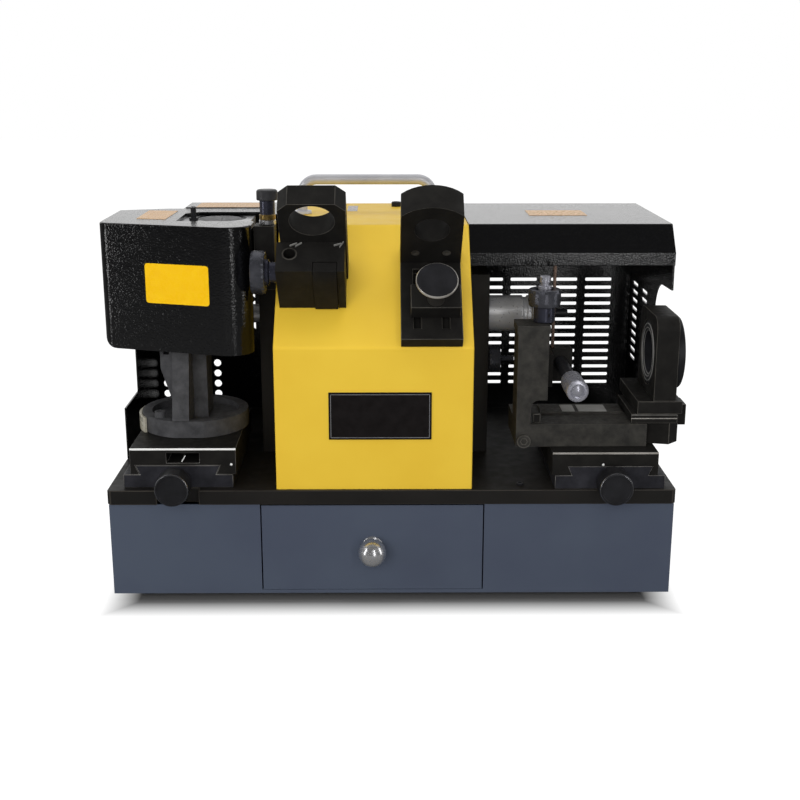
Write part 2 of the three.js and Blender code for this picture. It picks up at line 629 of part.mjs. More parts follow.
function addRearCovers() {
  const coverLeft = cover.left - GAP;
  const top = deck + rearCover.top;
  const backFace = cover.back;
  const back = backFace - SHEET - GAP;
  add("left_rear_cover", hammertone, cut(
    block(rearCover.left, coverLeft, rearCover.front, backFace, top - rearCover.skirt, top),
    block(rearCover.left + SHEET, coverLeft - SHEET, rearCover.front + SHEET, backFace - SHEET,
      top - rearCover.skirt - OVERRUN, top - SHEET),
  ));
  const holes = [];
  for (const x of roundColumns) {
    for (let row = 0; row < roundHole.rows; row += 1) {
      holes.push(arc([x, deck + roundHole.top - row * roundHole.pitch], roundHole.radius, 0, 2 * Math.PI,
          10).slice(0, -1));
    }
    for (let row = 0; row < roundHole.upperRows; row += 1) {
      holes.push(arc([x, deck + roundHole.upperTop - row * roundHole.pitch], roundHole.radius, 0,
          2 * Math.PI, 10).slice(0, -1));
    }
  }
  const panelTop = top - rearCover.skirt - GAP;
  const sidePlateLeft = cover.left - GAP - SHEET - GAP;
  add("left_back_panel", hammertone, prism("y", [
    [leftBack.left + SHEET + GAP, deck], [sidePlateLeft, deck], [sidePlateLeft, panelTop],
    [leftBack.left + SHEET + GAP, panelTop],
  ], backFace - SHEET, backFace, holes));
  const sideTop = deck + leftBack.top;
  add("left_side_panel", hammertone, join(
    prism("x", [
      [leftSide.guardFront, deck], [leftSide.guardFront, deck + leftSide.guardHeight], [leftSide.front,
      deck + leftSide.guardHeight],
      [leftSide.front, sideTop], [backFace, sideTop], [backFace, deck],
    ], leftBack.left, leftBack.left + SHEET),
    block(leftBack.left, rearCover.left - GAP, rearCover.front, backFace, sideTop - SHEET, sideTop),
  ));
  const axis = [hinge.y, deck + hinge.height];
  const leafTop = deck + hinge.height - hinge.radius;
  add("hood_hinge", blackOxide, join(
    rod("x", axis, hinge.radius, hinge.left, hinge.right, 12),
    block(hinge.left, hinge.right, hinge.y - SHEET / 2, hinge.y + SHEET, top - rearCover.skirt,
        leafTop + hinge.radius),
    block(hinge.left, hinge.right, hinge.y - SHEET / 2, rearCover.front - GAP, top - rearCover.skirt,
        leafTop - hinge.radius),
  ));
}

// Dovetail feed slides

/** The outline of a dovetail in XZ above a slide's base, grown by a clearance. */
function dovetail(x, clearance, extra) {
  const low = deck + slide.baseHeight;
  const neck = slide.neckWidth / 2 + clearance;
  const crown = slide.crownWidth / 2 + clearance;
  return [
    [x - neck, low - extra], [x + neck, low - extra], [x + neck, low], [x + crown,
    low + slide.crownHeight + clearance],
    [x - crown, low + slide.crownHeight + clearance], [x - neck, low],
  ];
}

function slideBase({ x, front, length }) {
  const half = slide.baseWidth / 2;
  const end = front + length;
  const screw = deck + slide.screwRise;
  const crownTop = deck + slide.baseHeight + slide.crownHeight;
  return cut(
    join(
      block(x - half, x + half, front, end, deck, deck + slide.baseHeight),
      prism("y", dovetail(x, 0, slide.baseHeight / 2), front, end),
    ),
    block(x - slide.channelWidth / 2, x + slide.channelWidth / 2, front + slide.wall, end + OVERRUN,
      deck + slide.channelRise, crownTop + OVERRUN),
    rod("y", [x, screw], slide.screwRadius + RUNNING, front - OVERRUN, front + slide.wall + OVERRUN, 20),
  );
}

function carriage({ x, front, shift, top, carriage: length, nutY }) {
  const half = slide.carriageWidth / 2;
  const centre = x + shift;
  const low = deck + slide.baseHeight + GAP;
  const screw = deck + slide.screwRise;
  const body = cut(
    block(centre - half, centre + half, front, front + length, low, deck + top),
    prism("y", dovetail(x, GAP, slide.baseHeight), front - OVERRUN, front + length + OVERRUN),
  );
  const nut = block(
    x - slide.nutWidth / 2, x + slide.nutWidth / 2, nutY, nutY + slide.nutLength,
    screw - slide.nutDrop, deck + slide.baseHeight + slide.crownHeight + 2 * GAP);
  return cut(join(body, nut), rod("y", [x, screw], slide.screwRadius + RUNNING, nutY - OVERRUN,
      nutY + slide.nutLength + OVERRUN, 20));
}

function feedKnobSolid({ x, front, length }) {
  const face = -feedKnob.face;
  const { radius, bevel, neckRadius } = feedKnob;
  const back = face - feedKnob.length;
  const shoulder = -front + GAP;
  const screwEnd = -(front + length) + slide.wall;
  return turned("y", [x, deck + slide.screwRise], [
    [0, screwEnd], [slide.screwRadius, screwEnd], [slide.screwRadius, shoulder], [neckRadius, shoulder],
    [neckRadius, back],
    [radius - bevel, back], [radius, back + bevel], [radius, face - bevel], [radius - bevel, face], [0, face],
  ]);
}

function addSlides() {
  add("left_slide_base", blackOxide, slideBase(leftSlide));
  const mouth = block(
    leftSlide.x + leftSlide.shift - pocket.width / 2, leftSlide.x + leftSlide.shift + pocket.width / 2,
    leftSlide.front - OVERRUN, leftSlide.front + pocket.depth, deck + pocket.bottom,
        deck + pocket.bottom + pocket.height);
  add("left_carriage", blackOxide, cut(carriage(leftSlide), mouth));
  add("left_feed_knob", blackOxide, feedKnobSolid(leftSlide));
  add("right_slide_base", blackOxide, slideBase(rightSlide));
  add("right_carriage", blackOxide, carriage(rightSlide));
  add("right_feed_knob", blackOxide, feedKnobSolid(rightSlide));
}

// Left station: a swivelling bracket that holds the chuck seat upright

function addLeftStation() {
  const low = deck + leftSlide.top + GAP;
  const discTop = low + swivel.thickness;
  const centre = [swivel.x, swivel.y];
  const span = swivel.radius + OVERRUN;
  const disc = cut(
    rod("z", centre, swivel.radius, low, discTop, 40),
    block(swivel.x - span, swivel.x + span, swivel.y - span, swivel.flatFront, low - OVERRUN,
        discTop + OVERRUN),
    rod("z", centre, swivel.pitRadius, discTop - swivel.pitDepth, discTop + OVERRUN, 32),
  );
  const plateLow = deck + seatPlate.lift;
  const leanTop = discTop + column.leanHeight;
  const webFront = (column.footFront + column.back) / 2;
  const rib = prism("x", [
    [column.footFront, discTop - swivel.thickness / 2], [column.footFront, discTop + GAP],
    [column.topFront, leanTop],
    [column.topFront, plateLow], [column.back, plateLow], [column.back, discTop - swivel.thickness / 2],
  ], column.left, column.left + column.rib);
  const web = block(column.left, column.right, webFront, column.back, discTop - swivel.thickness / 2,
      plateLow);
  const lugLow = deck + lug.bottom;
  const lugFront = column.topFront;
  const lugBody = block(column.left - lug.width, column.left + GAP, lugFront, lugFront + lug.depth,
      lugLow, lugLow + lug.height);
  const gusset = prism("y", [
    [column.left + GAP, lugLow - lug.gusset], [column.left + GAP, lugLow + GAP],
    [column.left - lug.width, lugLow + GAP],
  ], lugFront, lugFront + lug.depth);
  const lugHole = block(
    column.left - lug.width / 2 - lug.hole / 2, column.left - lug.width / 2 + lug.hole / 2,
    lugFront - OVERRUN, lugFront + lug.depth + OVERRUN, lugLow + lug.height / 2,
        lugLow + lug.height / 2 + lug.hole);
  const screwAt = [clampScrew.x, clampScrew.y];
  const screwTop = discTop + clampScrew.height;
  const screwHead = rod("z", screwAt, clampScrew.radius, discTop - swivel.pitDepth / 2, screwTop, 16);
  const socket = rod("z", screwAt, clampScrew.socket, screwTop - clampScrew.height / 2,
      screwTop + OVERRUN, 6);
  add("left_bracket", castIron, cut(join(disc, rib, web, lugBody, gusset, screwHead), lugHole, socket));

  const bore = [leftBore.x, leftBore.y];
  const seatLow = plateLow + GAP;
  const seatTop = seatLow + seatPlate.thickness;
  const seatBody = join(
    block(seatPlate.left, seatPlate.right, seatPlate.front, seatPlate.back, seatLow, seatTop),
    rod("z", bore, leftBore.sleeveRadius, seatLow - GAP, seatTop, BORE),
  );
  const sleeve = cut(
    rod("z", bore, leftBore.sleeveRadius, seatLow - leftBore.sleeveLength, seatTop, BORE),
    block(column.left - GAP, column.right + GAP, webFront - GAP, column.back + GAP,
        seatLow - leftBore.sleeveLength - OVERRUN, seatLow),
  );
  const locator = turned("z", [pin.x, pin.y], [
    [0, seatLow + GAP], [pin.collar, seatLow + GAP], [pin.collar, seatTop + pin.collarHeight],
    [pin.radius, seatTop + pin.collarHeight], [pin.radius, seatTop + pin.height], [0, seatTop + pin.height],
  ], 12);
  add("left_seat_plate", steel, cut(
    join(seatBody, sleeve, locator),
    rod("z", bore, leftBore.radius, seatLow - leftBore.sleeveLength - OVERRUN, seatTop + OVERRUN, BORE),
  ));
  const from = THREE.MathUtils.degToRad(scale.fromDegrees);
  const to = THREE.MathUtils.degToRad(scale.toDegrees);
  const innerRadius = swivel.radius + RUNNING;
  add("swivel_scale", polished, prism("z", [
    ...arc(centre, innerRadius, from, to, scale.steps),
    ...arc(centre, innerRadius + scale.width, to, from, scale.steps),
  ], deck + leftSlide.top, deck + leftSlide.top + scale.height));
}

// Right station: an arm with the tooth rest, its micrometer and the chuck seat

function addArm() {
  const low = deck + rightSlide.top + GAP;
  const armTop = low + arm.thickness;
  const postTop = low + post.height;
  const shoulder = low + post.shoulder;
  const postRight = arm.left + post.width;
  const footRight = arm.left + post.footWidth;
  const postBack = arm.front + post.depth;
  const inner = [footRight + post.fillet, shoulder - post.fillet];
  const postBody = prism("y", [
    [arm.left, low], [footRight, low], [footRight, shoulder - post.fillet],
    ...arc(inner, post.fillet, Math.PI, Math.PI / 2, 4).slice(1, -1),
    [footRight + post.fillet, shoulder], [postRight, shoulder], [postRight, postTop - postCap.height],
    [postRight + postCap.lip, postTop - postCap.height], [postRight + postCap.lip, postTop],
    [arm.left - postCap.lip, postTop], [arm.left - postCap.lip, postTop - postCap.height], [arm.left,
    postTop - postCap.height],
  ], arm.front, postBack);
  const boltX = arm.left + armBolt.inset;
  const boltZ = low + armBolt.rise;
  const liftHole = rod("z", [lift.x, lift.y], lift.pinRadius + RUNNING, postTop - 2 * postCap.height,
      postTop + OVERRUN, 20);
  const boltFace = arm.front - armBolt.height;
  const boltHead = rod("y", [boltX, boltZ], armBolt.radius, boltFace, arm.front + armBolt.height, 20);
  const boltSocket = rod("y", [boltX, boltZ], armBolt.socket, boltFace - OVERRUN,
      arm.front - armBolt.height / 2, 6);
  const strip = block(rail.left, rail.right, rail.front, rail.front + rail.width, armTop - rail.height,
      armTop + rail.height);
  add("right_arm", castIron, cut(
    join(block(arm.left, arm.right, arm.front, arm.back, low, armTop), postBody, boltHead, strip),
    liftHole, boltSocket,
  ));
  add("lift_knob", blackOxide, turned("z", [lift.x, lift.y], [
    [0, postTop - postCap.height], [lift.pinRadius, postTop - postCap.height], [lift.pinRadius,
    postTop + GAP],
    [lift.collarRadius, postTop + GAP], [lift.collarRadius, postTop + lift.collarHeight],
    [lift.headRadius, postTop + lift.collarHeight], [lift.headRadius,
    postTop + lift.collarHeight + lift.headHeight],
    [lift.pinRadius, postTop + lift.collarHeight + lift.headHeight],
    [lift.pinRadius, postTop + lift.collarHeight + lift.headHeight + lift.pinHeight],
    [0, postTop + lift.collarHeight + lift.headHeight + lift.pinHeight],
  ]));
}

function addToothRest() {
  const low = deck + holder.bottom;
  const high = low + holder.height;
  const right = holder.left + holder.width;
  const back = holder.front + holder.depth;
  const micZ = deck + mic.height;
  const centre = [mic.x, micZ];
  const slotLeft = blade.x - blade.width / 2 - GAP;
  const slotRight = blade.x + blade.width / 2 + GAP;
  const slotFront = blade.y - blade.thickness / 2 - blade.clearance;
  const slotBack = blade.y + blade.thickness / 2 + blade.clearance;
  const guideBack = arm.front + post.depth;
  add("rest_holder", blackOxide, cut(
    join(
      block(holder.left, right, holder.front, back, low, high),
      block(holder.left, holder.left + holder.plateWidth, arm.front + post.depth / 2, back, low, high),
    ),
    rod("y", centre, mic.sleeveRadius + GAP, holder.front - OVERRUN, holder.front + SHEET, 20),
    rod("y", centre, mic.spindleRadius + GAP, holder.front - OVERRUN, back + OVERRUN, 16),
    block(slotLeft, slotRight, slotFront, slotBack, deck + blade.bottom - GAP, high + OVERRUN),
    block(holder.left - OVERRUN, holder.left + GAP, arm.front, guideBack + GAP, low - OVERRUN,
        high + OVERRUN),
  ));
  const thimbleBack = mic.end + mic.thimbleLength;
  const sleeveEnd = GAP - holder.front - SHEET;
  add("micrometer_sleeve", blackOxide, turned("y", centre, [
    [0, sleeveEnd], [mic.sleeveRadius, sleeveEnd], [mic.sleeveRadius, -thimbleBack + mic.thimbleLength / 2],
    [0, -thimbleBack + mic.thimbleLength / 2],
  ], 20));
  const bevel = mic.spindleRadius / 2;
  const cavity = -thimbleBack + mic.thimbleLength / 2 + GAP;
  add("micrometer_thimble", polished, turned("y", centre, [
    [0, cavity], [mic.sleeveRadius + GAP, cavity], [mic.sleeveRadius + GAP, -thimbleBack],
    [mic.thimbleRadius - bevel, -thimbleBack], [mic.thimbleRadius, -thimbleBack + 2 * bevel],
    [mic.thimbleRadius, -mic.end - bevel], [mic.thimbleRadius - bevel, -mic.end], [0, -mic.end],
  ], 24));
  add("tooth_rest_blade", copper, block(
    blade.x - blade.width / 2, blade.x + blade.width / 2, blade.y - blade.thickness / 2,
        blade.y + blade.thickness / 2,
    deck + blade.bottom, deck + blade.top));
}

function addRightSeat() {
  const low = deck + rightSlide.top + GAP;
  const armTop = low + arm.thickness + GAP;
  const baseTop = armTop + seat.baseHeight;
  const endFront = seatEnd.front;
  const endBack = endFront + seatEnd.width;
  const endLeft = arm.right + GAP;
  const { facet } = seatEnd;
  add("seat_base", blackOxide, join(
    block(seat.baseLeft, seat.baseRight, arm.front + SHEET, arm.back, armTop, baseTop),
    prism("z", [
      [endLeft, endFront], [seat.endRight - facet, endFront - facet / 2], [seat.endRight,
      endFront + facet / 2],
      [seat.endRight, endBack], [endLeft, endBack],
    ], low, armTop + seatEnd.rise),
  ));
  const deckLow = baseTop + GAP;
  const deckTop = deckLow + seatDeck.thickness;
  const deckBack = seatDeck.front + seatDeck.depth;
  const deckRight = seatDeck.left + seatDeck.width;
  const lockLow = deck + seatLock.bottom;
  const lockTop = lockLow + seatLock.height;
  const lockFront = seat.y - seatLock.depth / 2;
  const lockRight = deckRight + SHEET + seatLock.width;
  add("seat_deck", castIron, join(
    block(seatDeck.left, deckRight, seatDeck.front, deckBack, deckLow, deckTop),
    block(deckRight - SHEET, lockRight, lockFront, lockFront + seatLock.depth, deckLow, lockTop),
    block(deckRight + SHEET, lockRight, lockFront, lockFront + seatLock.depth, lockLow, lockTop),
  ));
  const blockFront = seatDeck.front;
  const blockBack = blockFront + seatBlock.length;
  const blockLow = deckTop + GAP;
  const blockTop = blockLow + seatBlock.height;
  const centre = [blockFront + seatBlock.length / 2, blockLow + seatBlock.boreRise];
  const corner = seatBlock.corner;
  const blockRight = seatBlock.left + seatBlock.width;
  add("seat_block", castIron, cut(
    prism("x", [
      [blockFront, blockLow], ...arc([blockFront + corner, blockTop - corner], corner, Math.PI,
      Math.PI / 2, 5),
      ...arc([blockBack - corner, blockTop - corner], corner, Math.PI / 2, 0, 5), [blockBack, blockLow],
    ], seatBlock.left, blockRight),
    rod("x", centre, seatBlock.boreRadius, seatBlock.left - OVERRUN, blockRight + OVERRUN, BORE),
    rod("x", centre, bush.rimRadius + GAP, seatBlock.left - OVERRUN,
        seatBlock.left + bush.rimDepth + GAP, BORE),
  ));
  const flangeStart = blockRight + GAP;
  add("seat_bush", blackOxide, cut(
    turned("x", centre, [
      [0, seatBlock.left], [bush.rimRadius, seatBlock.left], [bush.rimRadius, seatBlock.left + bush.rimDepth],
      [bush.bodyRadius, seatBlock.left + bush.rimDepth], [bush.bodyRadius, flangeStart],
      [bush.flangeRadius - 2 * SHEET, flangeStart],
      [bush.flangeRadius - 2 * SHEET, flangeStart + bush.flangeWidth], [0, flangeStart + bush.flangeWidth],
    ], BORE),
    rod("x", centre, bush.boreRadius, seatBlock.left - OVERRUN, flangeStart + bush.flangeWidth + OVERRUN,
        BORE),
  ));
}

// Setting fixtures on the slope; x stays, y runs up the slope and z stands off it

const slope = new THREE.Group();
slope.position.set(0, cover.front, deck + cover.bend);
slope.rotation.x = slopeAngle;
machine.add(slope);

function addLeftFixture() {
  const { left, width, start, length, height } = leftFixture;
  const right = left + width;
  const end = start + length;
  const slotLeft = finger.left - GAP;
  const slotRight = finger.left + finger.width + GAP;
  const holeAt = [left + leftFixture.holeInset, start + leftFixture.holeBehind];
  const shaftAt = [fingerKnob.along, fingerKnob.height];
  add("left_fixture_block", blackOxide, cut(
    block(left, right, start, end, GAP, height),
    block(slotLeft, slotRight, start - OVERRUN, start + finger.slotDepth, GAP - OVERRUN, height + OVERRUN),
    rod("z", holeAt, leftFixture.hole, height / 2, height + OVERRUN, 20),
    rod("x", shaftAt, finger.pinionRadius + RUNNING, left - OVERRUN, slotRight, 20),
  ), slope);
  const ringStart = end + GAP;
  const { chamfer, boreHeight } = ring;
  const ringRight = ring.left + ring.width;
  const ringMiddle = ring.left + ring.width / 2;
  add("left_fixture_ring", blackOxide, cut(
    prism("y", [
      [ring.left, GAP], [ringRight, GAP], [ringRight, ring.height - chamfer], [ringRight - chamfer,
      ring.height],
      [ring.left + chamfer, ring.height], [ring.left, ring.height - chamfer],
    ], ringStart, ringStart + ring.thickness),
    rod("y", [ringMiddle, boreHeight], ring.boreRadius, ringStart - OVERRUN,
        ringStart + ring.thickness + OVERRUN, BORE),
  ), slope);
  const fingerFront = start - finger.proud;
  const fingerBack = start + finger.slotDepth - RUNNING;
  add("stop_finger", blackOxide, prism("x", [
    [fingerFront, finger.bottom], [fingerFront, finger.lip], [start, finger.crest],
    [fingerBack, finger.crest], [fingerBack, finger.bottom],
  ], finger.left, finger.left + finger.width), slope);
  const knobEnd = left - fingerKnob.neck - fingerKnob.width;
  add("finger_knob", blackOxide, turned("x", shaftAt, [
    [0, knobEnd], [fingerKnob.radius, knobEnd], [fingerKnob.radius, knobEnd + fingerKnob.width],
    [fingerKnob.neckRadius, knobEnd + fingerKnob.width], [fingerKnob.neckRadius, left - GAP],
    [finger.pinionRadius, left - GAP], [finger.pinionRadius, slotLeft - RUNNING], [0, slotLeft - RUNNING],
  ]), slope);
}

function addRightFixture() {
  const { left, width, start, length, thickness } = rightFixture;
  const right = left + width;
  const middle = left + width / 2;
  const slot = (x) => block(
    x - rightFixture.slotWidth / 2, x + rightFixture.slotWidth / 2, start + slider.start / 2,
        arch.start - rightFixture.slotWidth,
    thickness / 2, thickness + OVERRUN);
  add("right_fixture_base", blackOxide, cut(
    block(left, right, start, length, GAP, thickness),
    slot(middle - rightFixture.slotGauge / 2), slot(middle + rightFixture.slotGauge / 2),
  ), slope);
  const low = thickness + GAP;
  const sagitta = arch.top - arch.side;
  const bow = (width * width / 4 + sagitta * sagitta) / (2 * sagitta);
  const spread = Math.asin(width / 2 / bow);
  const crown = arc([middle, arch.top - bow], bow, Math.PI / 2 - spread, Math.PI / 2 + spread, 10);
  const archEnd = arch.start + arch.thickness;
  const screw = (x) => rod("y", [x, low + arch.screwRise], arch.screw, arch.start - OVERRUN,
      arch.start + arch.thickness / 2, 12);
  add("right_fixture_arch", blackOxide, cut(
    prism("y", [[left, low], [right, low], ...crown], arch.start, archEnd),
    rod("y", [middle, arch.boreHeight], arch.boreRadius, arch.start - OVERRUN, archEnd + OVERRUN, BORE),
    screw(middle - arch.screwGauge / 2), screw(middle + arch.screwGauge / 2),
  ), slope);
  const sliderTop = low + slider.thickness;
  const knobAt = [slider.left + slider.width / 2, slider.start + sliderKnob.inset];
  add("fixture_slider", blackOxide,
    block(slider.left, slider.left + slider.width, slider.start, slider.start + slider.length, low,
        sliderTop), slope);
  const neckTop = sliderTop + GAP + sliderKnob.neck;
  add("slider_knob", blackOxide, turned("z", knobAt, [
    [0, sliderTop + GAP], [sliderKnob.neckRadius, sliderTop + GAP], [sliderKnob.neckRadius, neckTop],
    [sliderKnob.radius - sliderKnob.dish, neckTop], [sliderKnob.radius, neckTop + sliderKnob.dish],
    [sliderKnob.radius, neckTop + sliderKnob.thickness - sliderKnob.dish],
    [sliderKnob.radius - sliderKnob.dish, neckTop + sliderKnob.thickness], [0,
    neckTop + sliderKnob.thickness],
  ]), slope);
}

function addLatch() {
  const left = latch.right - latch.width;
  const centre = [latch.right - latch.boreInset, latch.front + latch.depth / 2];
  const top = deck + latch.top;
  add("latch_block", blackOxide, cut(
    block(left, latch.right, latch.front, latch.front + latch.depth, deck + latch.bottom, top),
    rod("z", centre, plunger.rodRadius + RUNNING, top - plunger.rod, top + OVERRUN, 16),
  ));
  const ringTop = top + GAP + plunger.ringHeight;
  const stemTop = ringTop + plunger.stemHeight;
  add("index_plunger", steel, turned("z", centre, [
    [0, top - plunger.rod + OVERRUN], [plunger.rodRadius, top - plunger.rod + OVERRUN],
    [plunger.rodRadius, top + GAP],
    [plunger.ringRadius, top + GAP], [plunger.ringRadius, ringTop], [plunger.stemRadius, ringTop],
    [plunger.stemRadius, stemTop],
    [plunger.capRadius, stemTop], [plunger.capRadius, stemTop + plunger.capHeight], [0,
    stemTop + plunger.capHeight],
  ], 24));
}

// Carry handle on the cover's top

function addHandle() {
  const { radius, left, right, y, corner } = handle;
  const base = coverTop + GAP + handle.bossHeight;
  const top = coverTop + handle.height - radius;
  const path = new THREE.CurvePath();
  const at = (x, z) => new THREE.Vector3(x, y, z);
  const bend = (from, mid, to) => new THREE.QuadraticBezierCurve3(from, mid, to);
  path.add(new THREE.LineCurve3(at(left, base), at(left, top - corner)));
  path.add(bend(at(left, top - corner), at(left, top), at(left + corner, top)));
  path.add(new THREE.LineCurve3(at(left + corner, top), at(right - corner, top)));
  path.add(bend(at(right - corner, top), at(right, top), at(right, top - corner)));
  path.add(new THREE.LineCurve3(at(right, top - corner), at(right, base)));
  const section = new THREE.Shape(arc([0, 0], radius, 0, 2 * Math.PI, 12).slice(0, -1).map(([u,
      v]) => new THREE.Vector2(u, v)));
  const bar = new THREE.ExtrudeGeometry(section, { steps: 48, extrudePath: path, bevelEnabled: false });
  const boss = (x) => rod("z", [x, y], handle.boss, coverTop + GAP, base + radius / 4, 20);
  add("carry_handle", polished, join(solidOf(bar), boss(left), boss(right)));
}

addCabinet();
addDrawer();
addPlate();
addCentreCover();
addElectrics();
addMotor();
addSpindle();
addSidePlates();
addRightHood();
addLeftHood();
addRearCovers();
addSlides();
addLeftStation();
addArm();
addToothRest();
addRightSeat();
addLeftFixture();
addRightFixture();
addLatch();
addHandle();

const bounds = new THREE.Box3().setFromObject(machine);
const middle = bounds.getCenter(new THREE.Vector3());
machine.position.set(-middle.x, -middle.y, -bounds.min.z);
machine.updateMatrixWorld(true);

export default machine;
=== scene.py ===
"""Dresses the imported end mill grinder: finer shapes, finishes, a plain studio and the camera.

Sizes of pieces are in millimetres, as on the machine's drawing, whose origin is the middle of the
base plate, the spindle axis and the floor. +X is to the operator's right, -Y faces the operator
and +Z is up. Everything that reaches Blender is in metres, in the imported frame.
"""

from __future__ import annotations

import json
import logging
import math
from abc import ABC, abstractmethod
from dataclasses import dataclass
from enum import Enum
from typing import Callable, Iterable, Optional, Sequence

import bmesh
import bpy
from mathutils import Matrix, Vector

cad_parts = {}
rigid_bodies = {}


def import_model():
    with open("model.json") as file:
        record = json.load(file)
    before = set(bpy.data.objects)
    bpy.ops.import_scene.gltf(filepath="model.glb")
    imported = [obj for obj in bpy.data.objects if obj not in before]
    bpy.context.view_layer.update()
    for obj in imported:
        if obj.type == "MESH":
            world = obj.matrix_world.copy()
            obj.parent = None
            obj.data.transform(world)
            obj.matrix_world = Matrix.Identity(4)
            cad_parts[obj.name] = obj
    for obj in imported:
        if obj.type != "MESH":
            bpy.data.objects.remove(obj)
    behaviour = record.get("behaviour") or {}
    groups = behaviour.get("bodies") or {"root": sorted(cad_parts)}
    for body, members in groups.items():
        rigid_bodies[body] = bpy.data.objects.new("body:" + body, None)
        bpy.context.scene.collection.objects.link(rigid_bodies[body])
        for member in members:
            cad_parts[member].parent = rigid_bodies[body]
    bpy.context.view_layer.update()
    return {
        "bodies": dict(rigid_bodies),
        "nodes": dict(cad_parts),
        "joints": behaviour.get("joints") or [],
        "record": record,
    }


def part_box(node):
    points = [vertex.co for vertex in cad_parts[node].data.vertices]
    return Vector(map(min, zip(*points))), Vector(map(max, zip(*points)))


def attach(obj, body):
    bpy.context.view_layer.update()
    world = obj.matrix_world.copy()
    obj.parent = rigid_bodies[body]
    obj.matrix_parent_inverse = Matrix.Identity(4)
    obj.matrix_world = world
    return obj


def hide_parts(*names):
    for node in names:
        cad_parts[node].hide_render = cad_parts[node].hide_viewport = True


LOG = logging.getLogger("end_mill_grinder")

MM = 0.001
NEAR = 0.05 * MM
MERGE_REACH = 0.004 * MM
SPIN_MERGE_REACH = 0.001 * MM
FLAT_ANGLE = math.radians(0.4)
WIDTH_SHARE = 0.98
ROUND = 72
DRAWING_SHIFT = Vector((-4.75, 14.585, 0))
DRAWING = Matrix.Translation(DRAWING_SHIFT * MM)
SLOPE_ORIGIN = (0, -117, 209.5)
SLOPE_ANGLE = math.radians(44.489)
SPINDLE_HEIGHT = 213.3
SCREW_SHARES = (0.12, 0.56, 0.52)
SOCKET_DEPTH_SHARES = (0.35, 0.3)
FACING = Matrix.Rotation(math.radians(90), 4, "X")

Point = tuple[float, float, float]
Pair = tuple[float, float]
Profile = Sequence[Pair]
EdgeTest = Callable[[Vector, Vector], bool]
Socket = bpy.types.NodeSocket


def at(x: float, y: float, z: float) -> Vector:
    """A point of the drawing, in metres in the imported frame."""
    return (Vector((x, y, z)) + DRAWING_SHIFT) * MM


def place_at(x: float, y: float, z: float) -> Matrix:
    """Moves a mesh to a point of the drawing."""
    return Matrix.Translation(at(x, y, z))


def on_slope(x: float = 0.0, along: float = 0.0, height: float = 0.0) -> Matrix:
    """A place on the cover's slope, for a mesh made about Z that stands off it."""
    slope = place_at(*SLOPE_ORIGIN) @ Matrix.Rotation(SLOPE_ANGLE, 4, "X")
    return slope @ Matrix.Translation(Vector((x, along, height)) * MM)


def about_z(degrees: float) -> Matrix:
    """A turn about Z."""
    return Matrix.Rotation(math.radians(degrees), 4, "Z")


def arc(across: float, along: float, radius: float, angles: Iterable[float]) -> list[Pair]:
    """Points round a centre, at angles in degrees from the first coordinate's direction."""
    turns = [math.radians(angle) for angle in angles]
    return [(across + radius * math.cos(turn), along + radius * math.sin(turn)) for turn in turns]


def paint(code: str) -> tuple[float, float, float, float]:
    """A screen colour such as "48505e" as linear light, with full opacity."""
    parts = [int(code[i:i + 2], 16) / 255 for i in (0, 2, 4)]
    return (*(c / 12.92 if c <= 0.04045 else ((c + 0.055) / 1.055) ** 2.4 for c in parts), 1)


def crosswise(node: str) -> EdgeTest:
    """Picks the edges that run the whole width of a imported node."""
    low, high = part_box(node)
    return lambda a, b: abs(a.x - b.x) > (high.x - low.x) * WIDTH_SHARE


class Axis(Enum):
    """The axis of a turned piece; along Y its profile runs towards the operator."""

    X = 0
    Y = 1
    Z = 2

    def through(self, centre: Vector) -> Matrix:
        """Stands a mesh made about Z on this axis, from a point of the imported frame."""
        turn = {
            Axis.X: ((0, 0, 1), (1, 0, 0), (0, 1, 0)),
            Axis.Y: ((1, 0, 0), (0, 0, -1), (0, 1, 0)),
            Axis.Z: ((1, 0, 0), (0, 1, 0), (0, 0, 1)),
        }[self]
        return Matrix.Translation(centre) @ Matrix(turn).to_4x4()

    def start_of(self, node: str) -> tuple[Vector, float]:
        """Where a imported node's profile starts on this axis, and its length in millimetres."""
        low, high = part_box(node)
        start = (low + high) / 2
        start[self.value] = (high if self is Axis.Y else low)[self.value]
        return start, (high[self.value] - low[self.value]) / MM


